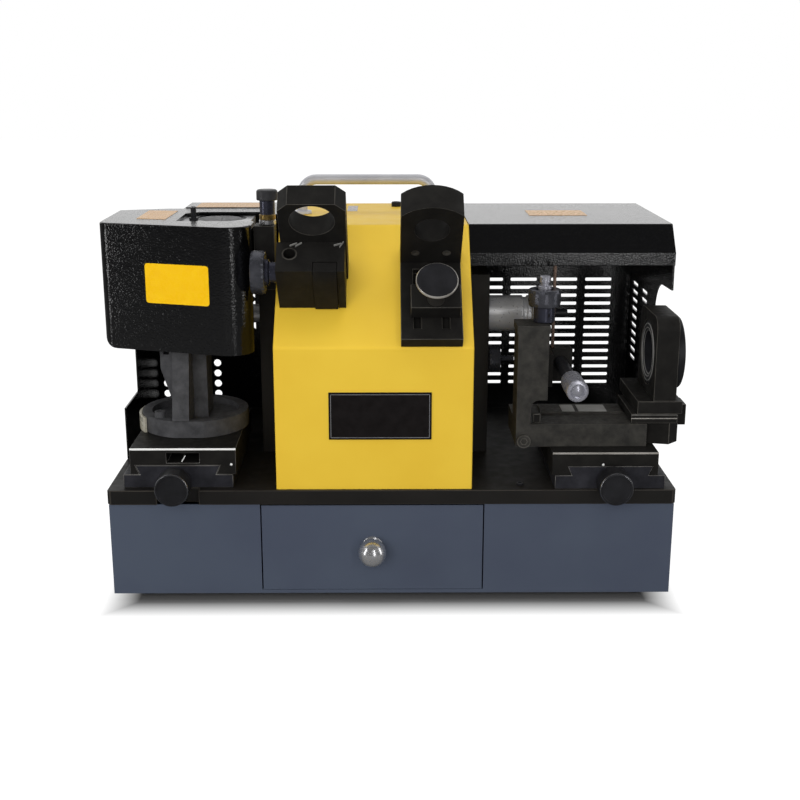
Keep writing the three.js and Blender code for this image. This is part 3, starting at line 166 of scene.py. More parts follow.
class Shape:
    """A mesh in the making, shaped with bmesh operators."""

    def __init__(self) -> None:
        """Starts with an empty mesh."""
        self.bm = bmesh.new()

    @classmethod
    def of_node(cls, node: str) -> "Shape":
        """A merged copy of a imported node, with the triangles of each flat face joined."""
        shape = cls()
        bm = shape.bm
        bm.from_mesh(bpy.data.objects[node].data)
        bmesh.ops.remove_doubles(bm, verts=bm.verts, dist=MERGE_REACH)
        bmesh.ops.dissolve_limit(bm, angle_limit=FLAT_ANGLE, verts=bm.verts, edges=bm.edges)
        return shape

    @classmethod
    def block(cls, low: Point, high: Point) -> "Shape":
        """A box between two corners, in millimetres of its own frame."""
        shape = cls()
        bmesh.ops.create_cube(shape.bm, size=1)
        size, middle = Vector(high) - Vector(low), (Vector(high) + Vector(low)) / 2
        bmesh.ops.scale(shape.bm, vec=size * MM, verts=shape.bm.verts)
        return shape.moved(Matrix.Translation(middle * MM))

    @classmethod
    def turned(cls, profile: Profile, segments: int = ROUND) -> "Shape":
        """A piece turned about Z from (radius, height) pairs in millimetres."""
        shape = cls()
        bm = shape.bm
        verts = [bm.verts.new((radius * MM, 0, height * MM)) for radius, height in profile]
        edges = [bm.edges.new(pair) for pair in zip(verts, verts[1:])]
        bmesh.ops.spin(
            bm, geom=verts + edges, cent=(0, 0, 0), axis=(0, 0, 1), angle=2 * math.pi,
            steps=segments, use_merge=True, use_duplicate=False)
        bmesh.ops.remove_doubles(bm, verts=bm.verts, dist=SPIN_MERGE_REACH)
        bmesh.ops.recalc_face_normals(bm, faces=bm.faces)
        return shape

    @classmethod
    def drum(
        cls, radius: float, start: float, end: float, points: int, rows: int, depth: float,
    ) -> "Shape":
        """A knurled drum about Z: alternate corners of its skin stand out as points.

        Args:
            radius: the reach of the points.
            start: where the drum starts on its axis.
            end: where it ends.
            points: corners round it.
            rows: rows of corners along it.
            depth: how far the points stand out.
        """
        inner = radius - depth
        stations = [start + (end - start) * row / rows for row in range(rows + 1)]
        profile = [(0, start), *((inner, station) for station in stations), (0, end)]
        shape = cls.turned(profile, points)
        skin = [vert for vert in shape.bm.verts if vert.co.xy.length > inner * MM / 2]
        for vert in skin:
            column = round(math.atan2(vert.co.y, vert.co.x) / (2 * math.pi / points))
            row = round((vert.co.z / MM - start) / (end - start) * rows)
            if (column + row) % 2 and 0 < row < rows:
                vert.co.xy *= radius / inner
        return shape

    @classmethod
    def pressed(cls, outline: Iterable[Pair], start: float, end: float) -> "Shape":
        """A plate pressed along Z from an outline in XY, in millimetres."""
        shape = cls()
        face = shape.bm.faces.new([shape.bm.verts.new((x * MM, y * MM, start * MM)) for x, y in outline])
        pushed = bmesh.ops.extrude_face_region(shape.bm, geom=[face])
        moved = [item for item in pushed["geom"] if isinstance(item, bmesh.types.BMVert)]
        bmesh.ops.translate(shape.bm, vec=(0, 0, (end - start) * MM), verts=moved)
        bmesh.ops.recalc_face_normals(shape.bm, faces=shape.bm.faces)
        return shape

    @classmethod
    def bar(cls, path: Sequence[Vector], radius: float, sides: int) -> "Shape":
        """A round bar pulled along a path given in metres."""
        shape = cls()
        bm = shape.bm
        ring = bmesh.ops.create_circle(bm, cap_ends=True, segments=sides, radius=radius * MM)["verts"]
        steps = [path[1] - path[0]]
        steps += [after - before for before, after in zip(path, path[2:])]
        steps.append(path[-1] - path[-2])
        turn = Vector((0, 0, 1)).rotation_difference(steps[0]).to_matrix().to_4x4()
        bmesh.ops.transform(bm, matrix=Matrix.Translation(path[0]) @ turn, verts=ring)
        edges = [edge for edge in bm.edges if all(vert in ring for vert in edge.verts)]
        for i in range(1, len(path)):
            pulled = bmesh.ops.extrude_edge_only(bm, edges=edges)["geom"]
            verts = [item for item in pulled if isinstance(item, bmesh.types.BMVert)]
            edges = [item for item in pulled if isinstance(item, bmesh.types.BMEdge)]
            turn = steps[i - 1].rotation_difference(steps[i]).to_matrix().to_4x4()
            move = Matrix.Translation(path[i]) @ turn @ Matrix.Translation(-path[i - 1])
            bmesh.ops.transform(bm, verts=verts, matrix=move)
        bmesh.ops.contextual_create(bm, geom=edges)
        bmesh.ops.recalc_face_normals(bm, faces=bm.faces)
        return shape

    def moved(self, matrix: Matrix) -> "Shape":
        """Moves the whole mesh."""
        bmesh.ops.transform(self.bm, matrix=matrix, verts=self.bm.verts)
        return self

    def softened(
        self, width: float, segments: int = 2, sharpest: float = 38.0,
        where: Optional[EdgeTest] = None, worn_and_lit: bool = False,
    ) -> "Shape":
        """Rounds the sharp edges.

        Args:
            width: how far the rounding reaches from the edge, in millimetres.
            segments: facets across the rounding.
            sharpest: edges that bend less than this, in degrees, stay.
            where: takes the edge's two ends, and picks the edges to round.
            worn_and_lit: whether the rounding takes the second, lighter finish: wear and a painted
                highlight.

        Returns:
            The same shape.
        """
        edges = [
            edge for edge in self.bm.edges
            if len(edge.link_faces) == 2 and edge.calc_face_angle(0.0) > math.radians(sharpest)
            and (where is None or where(edge.verts[0].co, edge.verts[1].co))]
        if edges:
            rounding = bmesh.ops.bevel(
                self.bm, geom=edges, offset=width * MM, offset_type="OFFSET", segments=segments,
                profile=0.5, affect="EDGES", clamp_overlap=True, material=-1)
            # The rounding's faces take the lighter finish, which paints the edge's highlight as well as
            # wear.
            for face in rounding["faces"] if worn_and_lit else ():
                face.material_index = 1
        return self

    def joined(self, other: "Shape") -> "Shape":
        """Takes another shape into this one and empties it."""
        spare = bpy.data.meshes.new("spare")
        other.bm.to_mesh(spare)
        self.bm.from_mesh(spare)
        bpy.data.meshes.remove(spare)
        other.bm.free()
        return self

    def made(self, name: str, smooth: float) -> bpy.types.Object:
        """Makes the object, with edges sharper than the given degrees kept crisp."""
        for face in self.bm.faces:
            face.smooth = True
        for edge in self.bm.edges:
            edge.smooth = len(edge.link_faces) == 2 and edge.calc_face_angle(0.0) < math.radians(smooth)
        mesh = bpy.data.meshes.new(name)
        self.bm.to_mesh(mesh)
        self.bm.free()
        piece = bpy.data.objects.new(name, mesh)
        bpy.context.scene.collection.objects.link(piece)
        piece.modifiers.new("even_shading", "WEIGHTED_NORMAL").keep_sharp = True
        return piece


class Graph:
    """A node tree, with short calls for its nodes and links."""

    def __init__(self, tree: bpy.types.NodeTree) -> None:
        """Keeps the tree."""
        self.tree = tree

    def add(self, kind: str) -> bpy.types.Node:
        """Adds a shader node of a kind."""
        return self.tree.nodes.new(f"ShaderNode{kind}")

    def feed(self, socket: Socket, value: object) -> None:
        """Sets a socket to a plain value, or links another node's output to it."""
        if isinstance(value, Socket):
            self.tree.links.new(value, socket)
        else:
            socket.default_value = value

    def maths(self, operation: str, *values: object) -> Socket:
        """Works out an operation on plain values and outputs."""
        node = self.add("Math")
        node.operation = operation
        for socket, value in zip(node.inputs, values):
            self.feed(socket, value)
        return node.outputs["Value"]

    def mapped(self, source: object, start: float, end: float, low: float, high: float) -> Socket:
        """Maps a value between start and end to one between low and high."""
        node = self.add("MapRange")
        names = ("Value", "From Min", "From Max", "To Min", "To Max")
        for name, value in zip(names, (source, start, end, low, high)):
            self.feed(node.inputs[name], value)
        return node.outputs["Result"]


@dataclass(frozen=True)
class Noise:
    """Cloudy noise whose blots are about the given size in millimetres."""

    size: float
    detail: float = 2.0
    rough: float = 0.5


class Recipe(Graph):
    """A new material, and the patterns that its surface shader takes."""

    def __init__(self, name: str) -> None:
        """Starts the material with its surface shader."""
        self.material = bpy.data.materials.new(name)
        self.material.use_nodes = True
        super().__init__(self.material.node_tree)
        self.shader = self.tree.nodes["Principled BSDF"]
        self.place = self.add("TexCoord").outputs["Object"]

    def noise(self, noise: Noise, stretch: Point = (1.0, 1.0, 1.0)) -> Socket:
        """Adds cloudy noise, finer along a direction whose stretch is larger."""
        spread = self.add("Mapping")
        self.feed(spread.inputs["Vector"], self.place)
        self.feed(spread.inputs["Scale"], tuple(share / (noise.size * MM) for share in stretch))
        node = self.add("TexNoise")
        names = ("Vector", "Scale", "Detail", "Roughness")
        for name, value in zip(names, (spread.outputs["Vector"], 1, noise.detail, noise.rough)):
            self.feed(node.inputs[name], value)
        return node.outputs["Fac"]

    def cells(self, size: float) -> Socket:
        """Distance to the middle of cells of about the given size in millimetres."""
        node = self.add("TexVoronoi")
        self.feed(node.inputs["Scale"], 1 / (size * MM))
        self.feed(node.inputs["Vector"], self.place)
        return node.outputs["Distance"]

    def blotched(self, source: object, tone: str, shade: str, span: Pair) -> None:
        """Colours the surface between two tones by a pattern."""
        node = self.add("Mix")
        node.data_type = "RGBA"
        sockets = {socket.identifier: socket for socket in (*node.inputs, *node.outputs)}
        self.feed(sockets["A_Color"], paint(tone))
        self.feed(sockets["B_Color"], paint(shade))
        self.feed(sockets["Factor_Float"], self.mapped(source, *span, 0, 1))
        self.feed(self.shader.inputs["Base Color"], sockets["Result_Color"])

    def bumped(self, source: object, depth: float) -> None:
        """Raises the surface by a pattern, up to a depth in millimetres."""
        node = self.add("Bump")
        for name, value in (("Strength", 1), ("Distance", depth * MM), ("Height", source)):
            self.feed(node.inputs[name], value)
        self.feed(self.shader.inputs["Normal"], node.outputs["Normal"])


@dataclass(frozen=True)
class Finish:
    """A surface finish: two tones that blend in clouds, an uneven gloss and a fine relief."""

    name: str
    slot: str
    tone: str
    shade: str
    gloss: Pair = (0.2, 0.34)
    metallic: float = 0.0
    specular: float = 0.5
    depth: float = 0.02
    lines: Point = (1, 1, 1)
    clouds: Noise = Noise(16, 3)
    span: Pair = (0.35, 0.65)
    uneven: Noise = Noise(3, 3)
    relief: Noise = Noise(0.9)
    gloss_span: Pair = (0.3, 0.7)

    def build(self, recipe: Recipe) -> None:
        """Adds the clouds, the uneven gloss and the relief."""
        recipe.blotched(recipe.noise(self.clouds), self.tone, self.shade, self.span)
        rough = recipe.mapped(recipe.noise(self.uneven), *self.gloss_span, *self.gloss)
        recipe.feed(recipe.shader.inputs["Roughness"], rough)
        recipe.bumped(recipe.noise(self.relief, self.lines), self.depth)
        recipe.feed(recipe.shader.inputs["Metallic"], self.metallic)
        recipe.feed(recipe.shader.inputs["Specular IOR Level"], self.specular)

    def material(self) -> bpy.types.Material:
        """The finish's material, made once."""
        found = bpy.data.materials.get(self.name)
        if found is not None:
            return found
        recipe = Recipe(self.name)
        self.build(recipe)
        return recipe.material


@dataclass(frozen=True)
class SheetPaint(Finish):
    """Powder coat on bent sheet: an even colour over a faint orange peel."""

    gloss: Pair = (0.34, 0.46)
    specular: float = 0.25
    clouds: Noise = Noise(70, 3)
    uneven: Noise = Noise(9, 4)


@dataclass(frozen=True)
class Hammertone(Finish):
    """Black crackle paint: small bright grains over black."""

    gloss: Pair = (0.08, 0.13)
    depth: float = 0.2
    clouds: Noise = Noise(1.3, 1.5, 0.45)
    span: Pair = (0.5, 0.75)
    uneven: Noise = Noise(3.9)
    relief: Noise = Noise(1.3, 1.5, 0.45)


@dataclass(frozen=True)
class BlackSteel(Finish):
    """Machined steel with a black oxide skin: fine tool lines and lighter rubbed patches."""

    gloss: Pair = (0.34, 0.5)
    specular: float = 0.2
    depth: float = 0.012
    lines: Point = (1, 0.06, 1)
    clouds: Noise = Noise(14, 5, 0.6)
    span: Pair = (0.38, 0.75)
    uneven: Noise = Noise(5, 4)
    relief: Noise = Noise(0.5)


@dataclass(frozen=True)
class Casting(Finish):
    """Blackened casting with a mottled, slightly rough skin."""

    gloss: Pair = (0.4, 0.58)
    metallic: float = 0.1
    specular: float = 0.22
    depth: float = 0.05
    clouds: Noise = Noise(11, 6, 0.62)
    span: Pair = (0.36, 0.68)
    uneven: Noise = Noise(3, 4)
    relief: Noise = Noise(0.9, 4)


@dataclass(frozen=True)
class BrightMetal(Finish):
    """Ground, brushed or plated metal."""

    metallic: float = 0.85
    depth: float = 0.0012
    uneven: Noise = Noise(2.4, 3)
    relief: Noise = Noise(0.35)


@dataclass(frozen=True)
class Moulded(Finish):
    """Rubber or moulded plastic with a fine grain."""

    gloss: Pair = (0.55, 0.75)
    specular: float = 0.35
    depth: float = 0.03
    clouds: Noise = Noise(6, 3)
    uneven: Noise = Noise(2)
    relief: Noise = Noise(0.5)


@dataclass(frozen=True)
class Film(Finish):
    """A printed label or plate face: one plain ink under a clear film, a little dusty."""

    gloss: Pair = (0.22, 0.34)
    specular: float = 0.2
    depth: float = 0.008
    clouds: Noise = Noise(8, 4)
    relief: Noise = Noise(12, 1)


@dataclass(frozen=True)
class Abrasive(Finish):
    """Grit bonded into a wheel."""

    grain: float = 0.6
    depth: float = 0.15
    span: Pair = (0.2, 0.7)
    roughness: float = 0.9

    def build(self, recipe: Recipe) -> None:
        """Adds the grit."""
        grit = recipe.cells(self.grain)
        recipe.blotched(grit, self.tone, self.shade, self.span)
        recipe.bumped(grit, self.depth)
        recipe.feed(recipe.shader.inputs["Roughness"], self.roughness)


YELLOW = SheetPaint("yellow_powder_coat", "yellow_paint", "f0c941", "ebc23b", (0.4, 0.5))
SLATE = SheetPaint("slate_powder_coat", "slate_paint", "4d5564", "495060", (0.42, 0.52), depth=0.03)
SATIN = SheetPaint("satin_black_paint", "satin_black", "191817", "201e1c", (0.42, 0.54), specular=0.2)
# A lighter edge for the black paint: wear and a painted highlight.
WORN_PAINT_EDGE_AND_HIGHLIGHT = SheetPaint("worn_paint_edge_and_highlight", "satin_black", "38342f", "2b2825", specular=0.3)
CRACKLE = Hammertone("hammertone_black", "hammertone", "050506", "0e0e0f")
OXIDE = BlackSteel("black_oxide_steel", "black_oxide", "1b1a19", "242321", (0.4, 0.55), specular=0.07)
SLIDE_STEEL = BlackSteel("black_oxide_slide", "black_oxide", "222226", "333338", specular=0.12)
OXIDE_ROUND = BlackSteel("black_oxide_turned", "black_oxide", "19191b", "232326", (0.3, 0.42))
KNURL = BlackSteel("black_oxide_knurl", "black_oxide", "4c4d53", "66676e", (0.24, 0.34), 0.75)
CAP_STEEL = BlackSteel("grey_turned_steel", "black_oxide", "343436", "424244", (0.34, 0.46), 0.3)
# The slider knob's side, lighter than its cap.
KNOB_SIDE = BlackSteel("lighter_knob_side", "black_oxide", "3b3936", "4a4743", (0.34, 0.46), 0.3)
STEM_STEEL = BlackSteel("dark_stem_steel", "black_oxide", "3f404b", "50515e", (0.2, 0.3), 0.7)
# Lighter edges and rings on black steel: wear and a painted highlight.
WORN_EDGE_AND_HIGHLIGHT = BrightMetal("worn_edge_and_highlight", "black_oxide", "5a5751", "3a3834", (0.36, 0.5), 0.4)
BARE_EDGE_AND_HIGHLIGHT = BrightMetal("bare_edge_and_highlight", "black_oxide", "7a7875", "55534f", (0.36, 0.5), 0.3)
POLISHED = BrightMetal("polished_edge", "black_oxide", "77777a", "68686b", (0.16, 0.26), 0.9)
# Pale metal that paints highlights: the slider knob's rim, the right carriage's front edge and a seat
# deck edge.
PALE_PAINTED_HIGHLIGHT = BrightMetal("pale_painted_highlight", "bright_steel", "b9b5ae", "a09c95", (0.26, 0.36), 0.5)
IRON = Casting("dark_casting_skin", "dark_casting", "2b2a28", "413f3b")
BRACKET_IRON = Casting("bracket_casting_skin", "dark_casting", "3c3c3e", "535355")
SMOOTH_GROUND = BrightMetal("smooth_ground_steel", "bright_steel", "c9c9ca", "b8b8ba", (0.26, 0.36), 0.5)
# Near-white that paints highlights: the left carriage's front edge, and glints on the gib screws and a
# socket.
WHITE_PAINTED_HIGHLIGHT = BrightMetal("white_painted_highlight", "bright_steel", "f4f4f3", "ececea", (0.4, 0.5), 0.1)
DULL_EDGE = BrightMetal("dull_cut_edge", "bright_steel", "a9a8a5", "959490", (0.4, 0.5), 0.3)
# A dimmer painted highlight along the seat deck.
DIM_PAINTED_HIGHLIGHT = BrightMetal("dim_painted_highlight", "bright_steel", "6b6965", "55534f", (0.4, 0.5), 0.4)
CHROME = BrightMetal("satin_chrome", "bright_chrome", "dcdcdd", "d2d2d4", (0.2, 0.3), 0.9)
SATIN_ALLOY = BrightMetal("satin_alloy", "bright_chrome", "b9b9c2", "a7a7b1", (0.24, 0.34), 0.75)
CREAM_STEEL = BrightMetal("cream_steel", "bright_chrome", "d8d3c2", "b7af95", (0.26, 0.36), 0.4)
BRUSHED = BrightMetal(
    "brushed_aluminium", "handle_aluminium", "cfcfd3", "c3c3c8", (0.36, 0.46), 0.55, lines=(0.05, 1, 1))
COPPER = BrightMetal("copper_strip", "copper_blade", "66544a", "483a32", (0.2, 0.32), 0.8)
BRASS = BrightMetal("brass_ring", "bright_steel", "a98f5c", "927a48", (0.24, 0.36))
RUBBER = Moulded("foot_rubber", "foot_rubber", "141414", "1b1b1b", (0.7, 0.85))
PLASTIC = Moulded("moulded_black", "black_plastic", "18181a", "1f1f21")
GRIT = Abrasive("wheel_grit", "wheel_body", "8e8b86", "b9b6b0")
YELLOW_FILM = Film("yellow_label", "yellow_paint", "fdc918", "fac312")
PEACH_FILM = Film("peach_label", "yellow_paint", "cf9f5c", "c69553")
GREY_FILM = Film("grey_label", "bright_steel", "9b9490", "8f8985")
PLATE_FILM = Film("plate_face", "satin_black", "120f0f", "191616", (0.36, 0.48), specular=0.12)
LINE_FILM = Film("plate_line", "bright_steel", "8f9092", "7c7d80", specular=0.35)


@dataclass
class Assembly(ABC):
    """A group of pieces that is dressed together."""

    body_of: dict[str, str]

    @abstractmethod
    def dress(self) -> None:
        """Makes and dresses every piece of the group."""

    def place(
        self, name: str, shape: Shape, finish: Finish, body: str = "machine",
        replaces: Sequence[str] = (), smooth: float = 40.0, edge_finish: Optional[Finish] = None,
    ) -> None:
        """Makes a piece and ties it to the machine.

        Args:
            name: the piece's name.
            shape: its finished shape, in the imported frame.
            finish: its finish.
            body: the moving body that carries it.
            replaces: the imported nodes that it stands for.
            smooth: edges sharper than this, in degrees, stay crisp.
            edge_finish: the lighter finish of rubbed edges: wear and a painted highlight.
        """
        piece = shape.made(name, smooth)
        for look in (finish, edge_finish):
            if look is not None:
                piece.data.materials.append(look.material())
        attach(piece, body)
        if replaces:
            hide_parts(*replaces)
        LOG.info("%s: %d faces on %s", name, len(piece.data.polygons), body)

    def stand_in(
        self, node: str, shape: Shape, finish: Finish, smooth: float = 40.0,
        edge_finish: Optional[Finish] = None,
    ) -> None:
        """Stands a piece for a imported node, on the node's body."""
        self.place(f"{node}_dressed", shape, finish, self.body_of[node], [node], smooth, edge_finish)

    def refine(
        self, node: str, finish: Finish, edge: float = 0.4, segments: int = 2,
        shape: Optional[Shape] = None, smooth: float = 40.0, edge_finish: Optional[Finish] = None,
    ) -> None:
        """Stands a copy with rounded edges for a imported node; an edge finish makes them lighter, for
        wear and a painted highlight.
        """
        copy = shape or Shape.of_node(node)
        copy.softened(edge, segments, worn_and_lit=edge_finish is not None)
        self.stand_in(node, copy, finish, smooth, edge_finish)

    def coat(self, node: str, finish: Finish) -> None:
        """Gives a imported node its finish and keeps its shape."""
        piece = bpy.data.objects[node]
        piece.data.materials.clear()
        piece.data.materials.append(finish.material())
        LOG.info("%s: coated", node)

    def turn(
        self, node: str, axis: Axis, profile: Profile, finish: Finish,
        segments: int = ROUND, smooth: float = 40.0,
    ) -> None:
        """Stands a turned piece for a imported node, from the node's start on its axis."""
        start, _ = axis.start_of(node)
        self.stand_in(node, Shape.turned(profile, segments).moved(axis.through(start)), finish, smooth)

    def add_turned(
        self, name: str, profile: Profile, matrix: Matrix, finish: Finish, body: str = "machine",
        segments: int = ROUND, smooth: float = 40.0,
    ) -> None:
        """Adds a piece made about Z and moved by a matrix."""
        self.place(name, Shape.turned(profile, segments).moved(matrix), finish, body, smooth=smooth)

    def add_block(
        self, name: str, low: Point, high: Point, finish: Finish, body: str = "machine",
        edge: float = 0.0, segments: int = 2, edge_finish: Optional[Finish] = None,
    ) -> None:
        """Adds a box between two corners of the drawing, with its edges rounded by edge."""
        shape = Shape.block(low, high).moved(DRAWING)
        if edge:
            shape.softened(edge, segments, worn_and_lit=edge_finish is not None)
        self.place(name, shape, finish, body, edge_finish=edge_finish)

    def socket_screw(self, name: str, radius: float, height: float, matrix: Matrix) -> None:
        """A socket head screw whose head stands on a face."""
        rim, mouth, socket = (radius * share for share in SCREW_SHARES)
        floor, middle = (height * share for share in SOCKET_DEPTH_SHARES)
        profile = (
            (0, 0), (radius, 0), (radius, height - rim), (radius - rim, height), (mouth, height),
            (socket, height - rim / 2), (socket, floor), (0, middle))
        self.add_turned(name, profile, matrix, OXIDE_ROUND, segments=36)


@dataclass
class Base(Assembly):
    """Cabinet, drawer, feet and base plate."""

    knob_neck: Profile = ((0, 0), (8.5, 0), (8.5, 1.4), (8, 2), (5.4, 3.2), (5, 4.6))
    ball_middle: float = 15.0
    ball_radius: float = 11.0
    foot: Profile = (
        (0, 0), (10.4, 0), (11.5, 0.5), (11.9, 1.5), (12, 3), (12, 7), (0, 7))
    plate_screws: Sequence[Point] = ((102.4, -106.4, 95), (-16, -112.2, 95))

    def dress(self) -> None:
        """Dresses the sheet work, the knob, the feet and the plate."""
        self.refine("base_cabinet", SLATE, 0.5)
        self.refine("drawer", SLATE, 0.45)
        ball = arc(0, self.ball_middle, self.ball_radius, range(-58, 91, 8))
        end = (0, self.ball_middle + self.ball_radius)
        self.turn("drawer_knob", Axis.Y, (*self.knob_neck, *ball, end), CHROME, smooth=60)
        for corner in ("front_left", "front_right", "back_left", "back_right"):
            self.turn(f"foot_{corner}", Axis.Z, self.foot, RUBBER, 48)
        # The plate's rounded edges take a lighter finish: wear and a painted highlight.
        self.refine("base_plate", SATIN, 0.7, 3, edge_finish=WORN_PAINT_EDGE_AND_HIGHLIGHT)
        for index, spot in enumerate(self.plate_screws):
            self.socket_screw(f"plate_screw_{index}", 3.2, 1.6, place_at(*spot))


@dataclass
class CentreCover(Assembly):
    """The yellow cover with its plate and handle, and what stands inside and behind it."""

    bend: float = 1.7
    side: float = 2.2
    hole_radius: float = 18.5
    front: float = -117.0
    plate: tuple[Pair, Pair] = ((-49.2, 136.1), (31, 174.2))
    plate_proud: float = 0.9
    line_inset: float = 1.5
    line_proud: float = 0.97
    line_width: float = 0.35
    handle_radius: float = 4.4
    handle_corner: float = 12.5
    handle_inset: float = 8.0
    flange: Profile = ((0, 0), (8, 0), (8, 1.8), (7.4, 2.6), (5.6, 3), (0, 3))

    def dress(self) -> None:
        """Dresses the cover and its fittings."""
        self.add_cover()
        self.add_plate()
        self.add_handle()
        self.add_block("cover_top_label", (-38.5, 62, 292.9), (-29.5, 104, 293.15), GREY_FILM)
        self.socket_screw("cover_top_screw", 4.4, 4.4, place_at(5.5, 100, 293))
        self.coat("rear_panel", SATIN)
        for node, edge in (("power_inlet", 0.5), ("switch_housing", 0.5), ("switch_rocker", 0.6)):
            self.refine(node, PLASTIC, edge)
        self.coat("motor_body", IRON)

    def add_cover(self) -> None:
        """The bent sheet, with its bends and folded sides rounded."""
        low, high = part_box("center_cover")
        across = crosswise("center_cover")
        spindle = at(0, 0, SPINDLE_HEIGHT)

        def on_rim(a: Vector, b: Vector) -> bool:
            """Whether an edge lies round the open back or the open underside."""
            return min(a.y, b.y) > high.y - NEAR or max(a.z, b.z) < low.z + NEAR

        def bent(a: Vector, b: Vector) -> bool:
            """Whether an edge is one of the bends across the cover."""
            return across(a, b) and not on_rim(a, b)

        def folded(a: Vector, b: Vector) -> bool:
            """Whether an edge runs along a folded side, and not round the spindle's hole."""
            same_side = abs(a.x - b.x) < NEAR and min(abs(a.x - low.x), abs(a.x - high.x)) < NEAR
            in_hole = all((p - spindle).yz.length < self.hole_radius * MM for p in (a, b))
            return same_side and not on_rim(a, b) and not in_hole

        skin = Shape.of_node("center_cover").softened(self.bend, 4, 20, bent)
        self.stand_in("center_cover", skin.softened(self.side, 3, 50, folded), YELLOW, 32)

    def add_plate(self) -> None:
        """The bare plate on the cover's front, with a thin line round it."""
        (left, bottom), (right, top) = self.plate
        face, back = self.front - self.plate_proud, self.front + 0.2
        self.add_block("name_plate", (left, face, bottom), (right, back, top), PLATE_FILM, edge=0.3)
        start, end = left + self.line_inset, right - self.line_inset
        base, head = bottom + self.line_inset, top - self.line_inset
        near, far = self.front - self.line_proud, self.front - 0.8
        frame = Shape()
        for low, high in (
            ((start, base), (end, base + self.line_width)),
            ((start, head - self.line_width), (end, head)),
            ((start, base), (start + self.line_width, head)),
            ((end - self.line_width, base), (end, head)),
        ):
            frame.joined(Shape.block((low[0], near, low[1]), (high[0], far, high[1])))
        self.place("name_plate_line", frame.moved(DRAWING), LINE_FILM)

    def add_handle(self) -> None:
        """The carry handle: a bar bent at both ends, on two flanges."""
        low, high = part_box("carry_handle")
        y = (low.y + high.y) / 2
        left, right = low.x + self.handle_inset * MM, high.x - self.handle_inset * MM
        top, corner = high.z - self.handle_radius * MM, self.handle_corner * MM
        rise = [(left, low.z + 1.0 * MM), (left, top - corner)]
        rise += arc(left + corner, top - corner, corner, range(170, 89, -10))
        fall = [(left + right - x, z) for x, z in reversed(rise)]
        bar = Shape.bar([Vector((x, y, z)) for x, z in rise + fall], self.handle_radius, 32)
        for x in (left, right):
            flange = Shape.turned(self.flange, 48)
            bar.joined(flange.moved(Matrix.Translation((x, y, low.z))))
        self.stand_in("carry_handle", bar, BRUSHED)


@dataclass
class Spindle(Assembly):
    """Spindle, wheels, side plates and the dial on the right one."""

    shaft: Profile = (
        (0, -147.4), (4.6, -147.4), (5, -146.8), (5, -138.9), (8, -138.9), (8, -129.2),
        (14.6, -129.2), (15, -128.8), (15, -122.6), (14.6, -122.2), (7.9, -122.2), (7.9, 64.9),
        (14.7, 64.9), (15.3, 65.6), (15.3, 112), (13.6, 113), (13.6, 115.4), (15.3, 116.4),
        (15.3, 118.8), (14.7, 119.4), (6, 119.4), (6, 130.7), (0, 130.7))
    nut_radius: float = 9.5
    nut_width: float = 7.0
    nut_middle: float = -142.4
    wheels: Sequence[tuple[str, float, float]] = (
        ("left_grinding_wheel", 8.3, 34.5), ("right_grinding_wheel", 6.3, 17.5))
    broken_corner: float = 1.0
    dial_radius: float = 12.0
    dial_start: float = 21.0
    dial_end: float = 30.5

    def dress(self) -> None:
        """Dresses the turning pieces and the side plates."""
        self.add_shaft()
        for wheel in self.wheels:
            self.add_wheel(*wheel)
        for side in ("left", "right"):
            self.refine(f"{side}_side_plate", SATIN, 0.4)
        self.add_wheel_screw()
        self.add_dial()

    def on_spindle(self, x: float) -> Matrix:
        """A place on the spindle's axis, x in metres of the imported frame."""
        return Axis.X.through(Vector((x, at(0, 0, 0).y, SPINDLE_HEIGHT * MM)))

    def add_shaft(self) -> None:
        """The shaft with its flange, its hub and a nut at the left end."""
        low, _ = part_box("spindle_shaft")
        nut = Shape()
        bmesh.ops.create_cone(
            nut.bm, cap_ends=True, segments=6, radius1=self.nut_radius * MM,
            radius2=self.nut_radius * MM, depth=self.nut_width * MM)
        nut.moved(Matrix.Translation((0, 0, self.nut_middle * MM))).softened(0.6)
        place = self.on_spindle(low.x - self.shaft[0][1] * MM)
        self.stand_in("spindle_shaft", Shape.turned(self.shaft).joined(nut).moved(place), SMOOTH_GROUND)

    def add_wheel(self, node: str, bore: float, radius: float) -> None:
        """A grinding wheel: a grit ring with broken corners."""
        start, width = Axis.X.start_of(node)
        broken = self.broken_corner
        profile = (
            (bore, 0), (radius - broken, 0), (radius, broken), (radius, width - broken),
            (radius - broken, width), (bore, width), (bore, 0))
        self.stand_in(node, Shape.turned(profile).moved(self.on_spindle(start.x)), GRIT)

    def add_wheel_screw(self) -> None:
        """The screw that holds the right wheel."""
        start, length = Axis.X.start_of("right_wheel_screw")
        profile = (
            (0, 0), (8, 0), (8, 5.2), (7.2, 6), (3.3, 6), (3.3, length - 0.6),
            (2.8, length), (0, length))
        screw = Shape.turned(profile, 48).moved(self.on_spindle(start.x))
        self.stand_in("right_wheel_screw", screw, OXIDE_ROUND)

    def add_dial(self) -> None:
        """The knurled dial on its stem."""
        place, length = Axis.X.start_of("side_dial")
        start, end = self.dial_start, self.dial_end
        stem = Shape.turned((
            (0, 0), (3.2, 0), (3.2, start), (2.6, end), (2.6, length - 0.5), (2.1, length),
            (0, length)), 32)
        stem.joined(Shape.drum(self.dial_radius, start, end, points=48, rows=6, depth=0.6))
        self.stand_in("side_dial", stem.moved(Axis.X.through(place)), KNURL, 25)


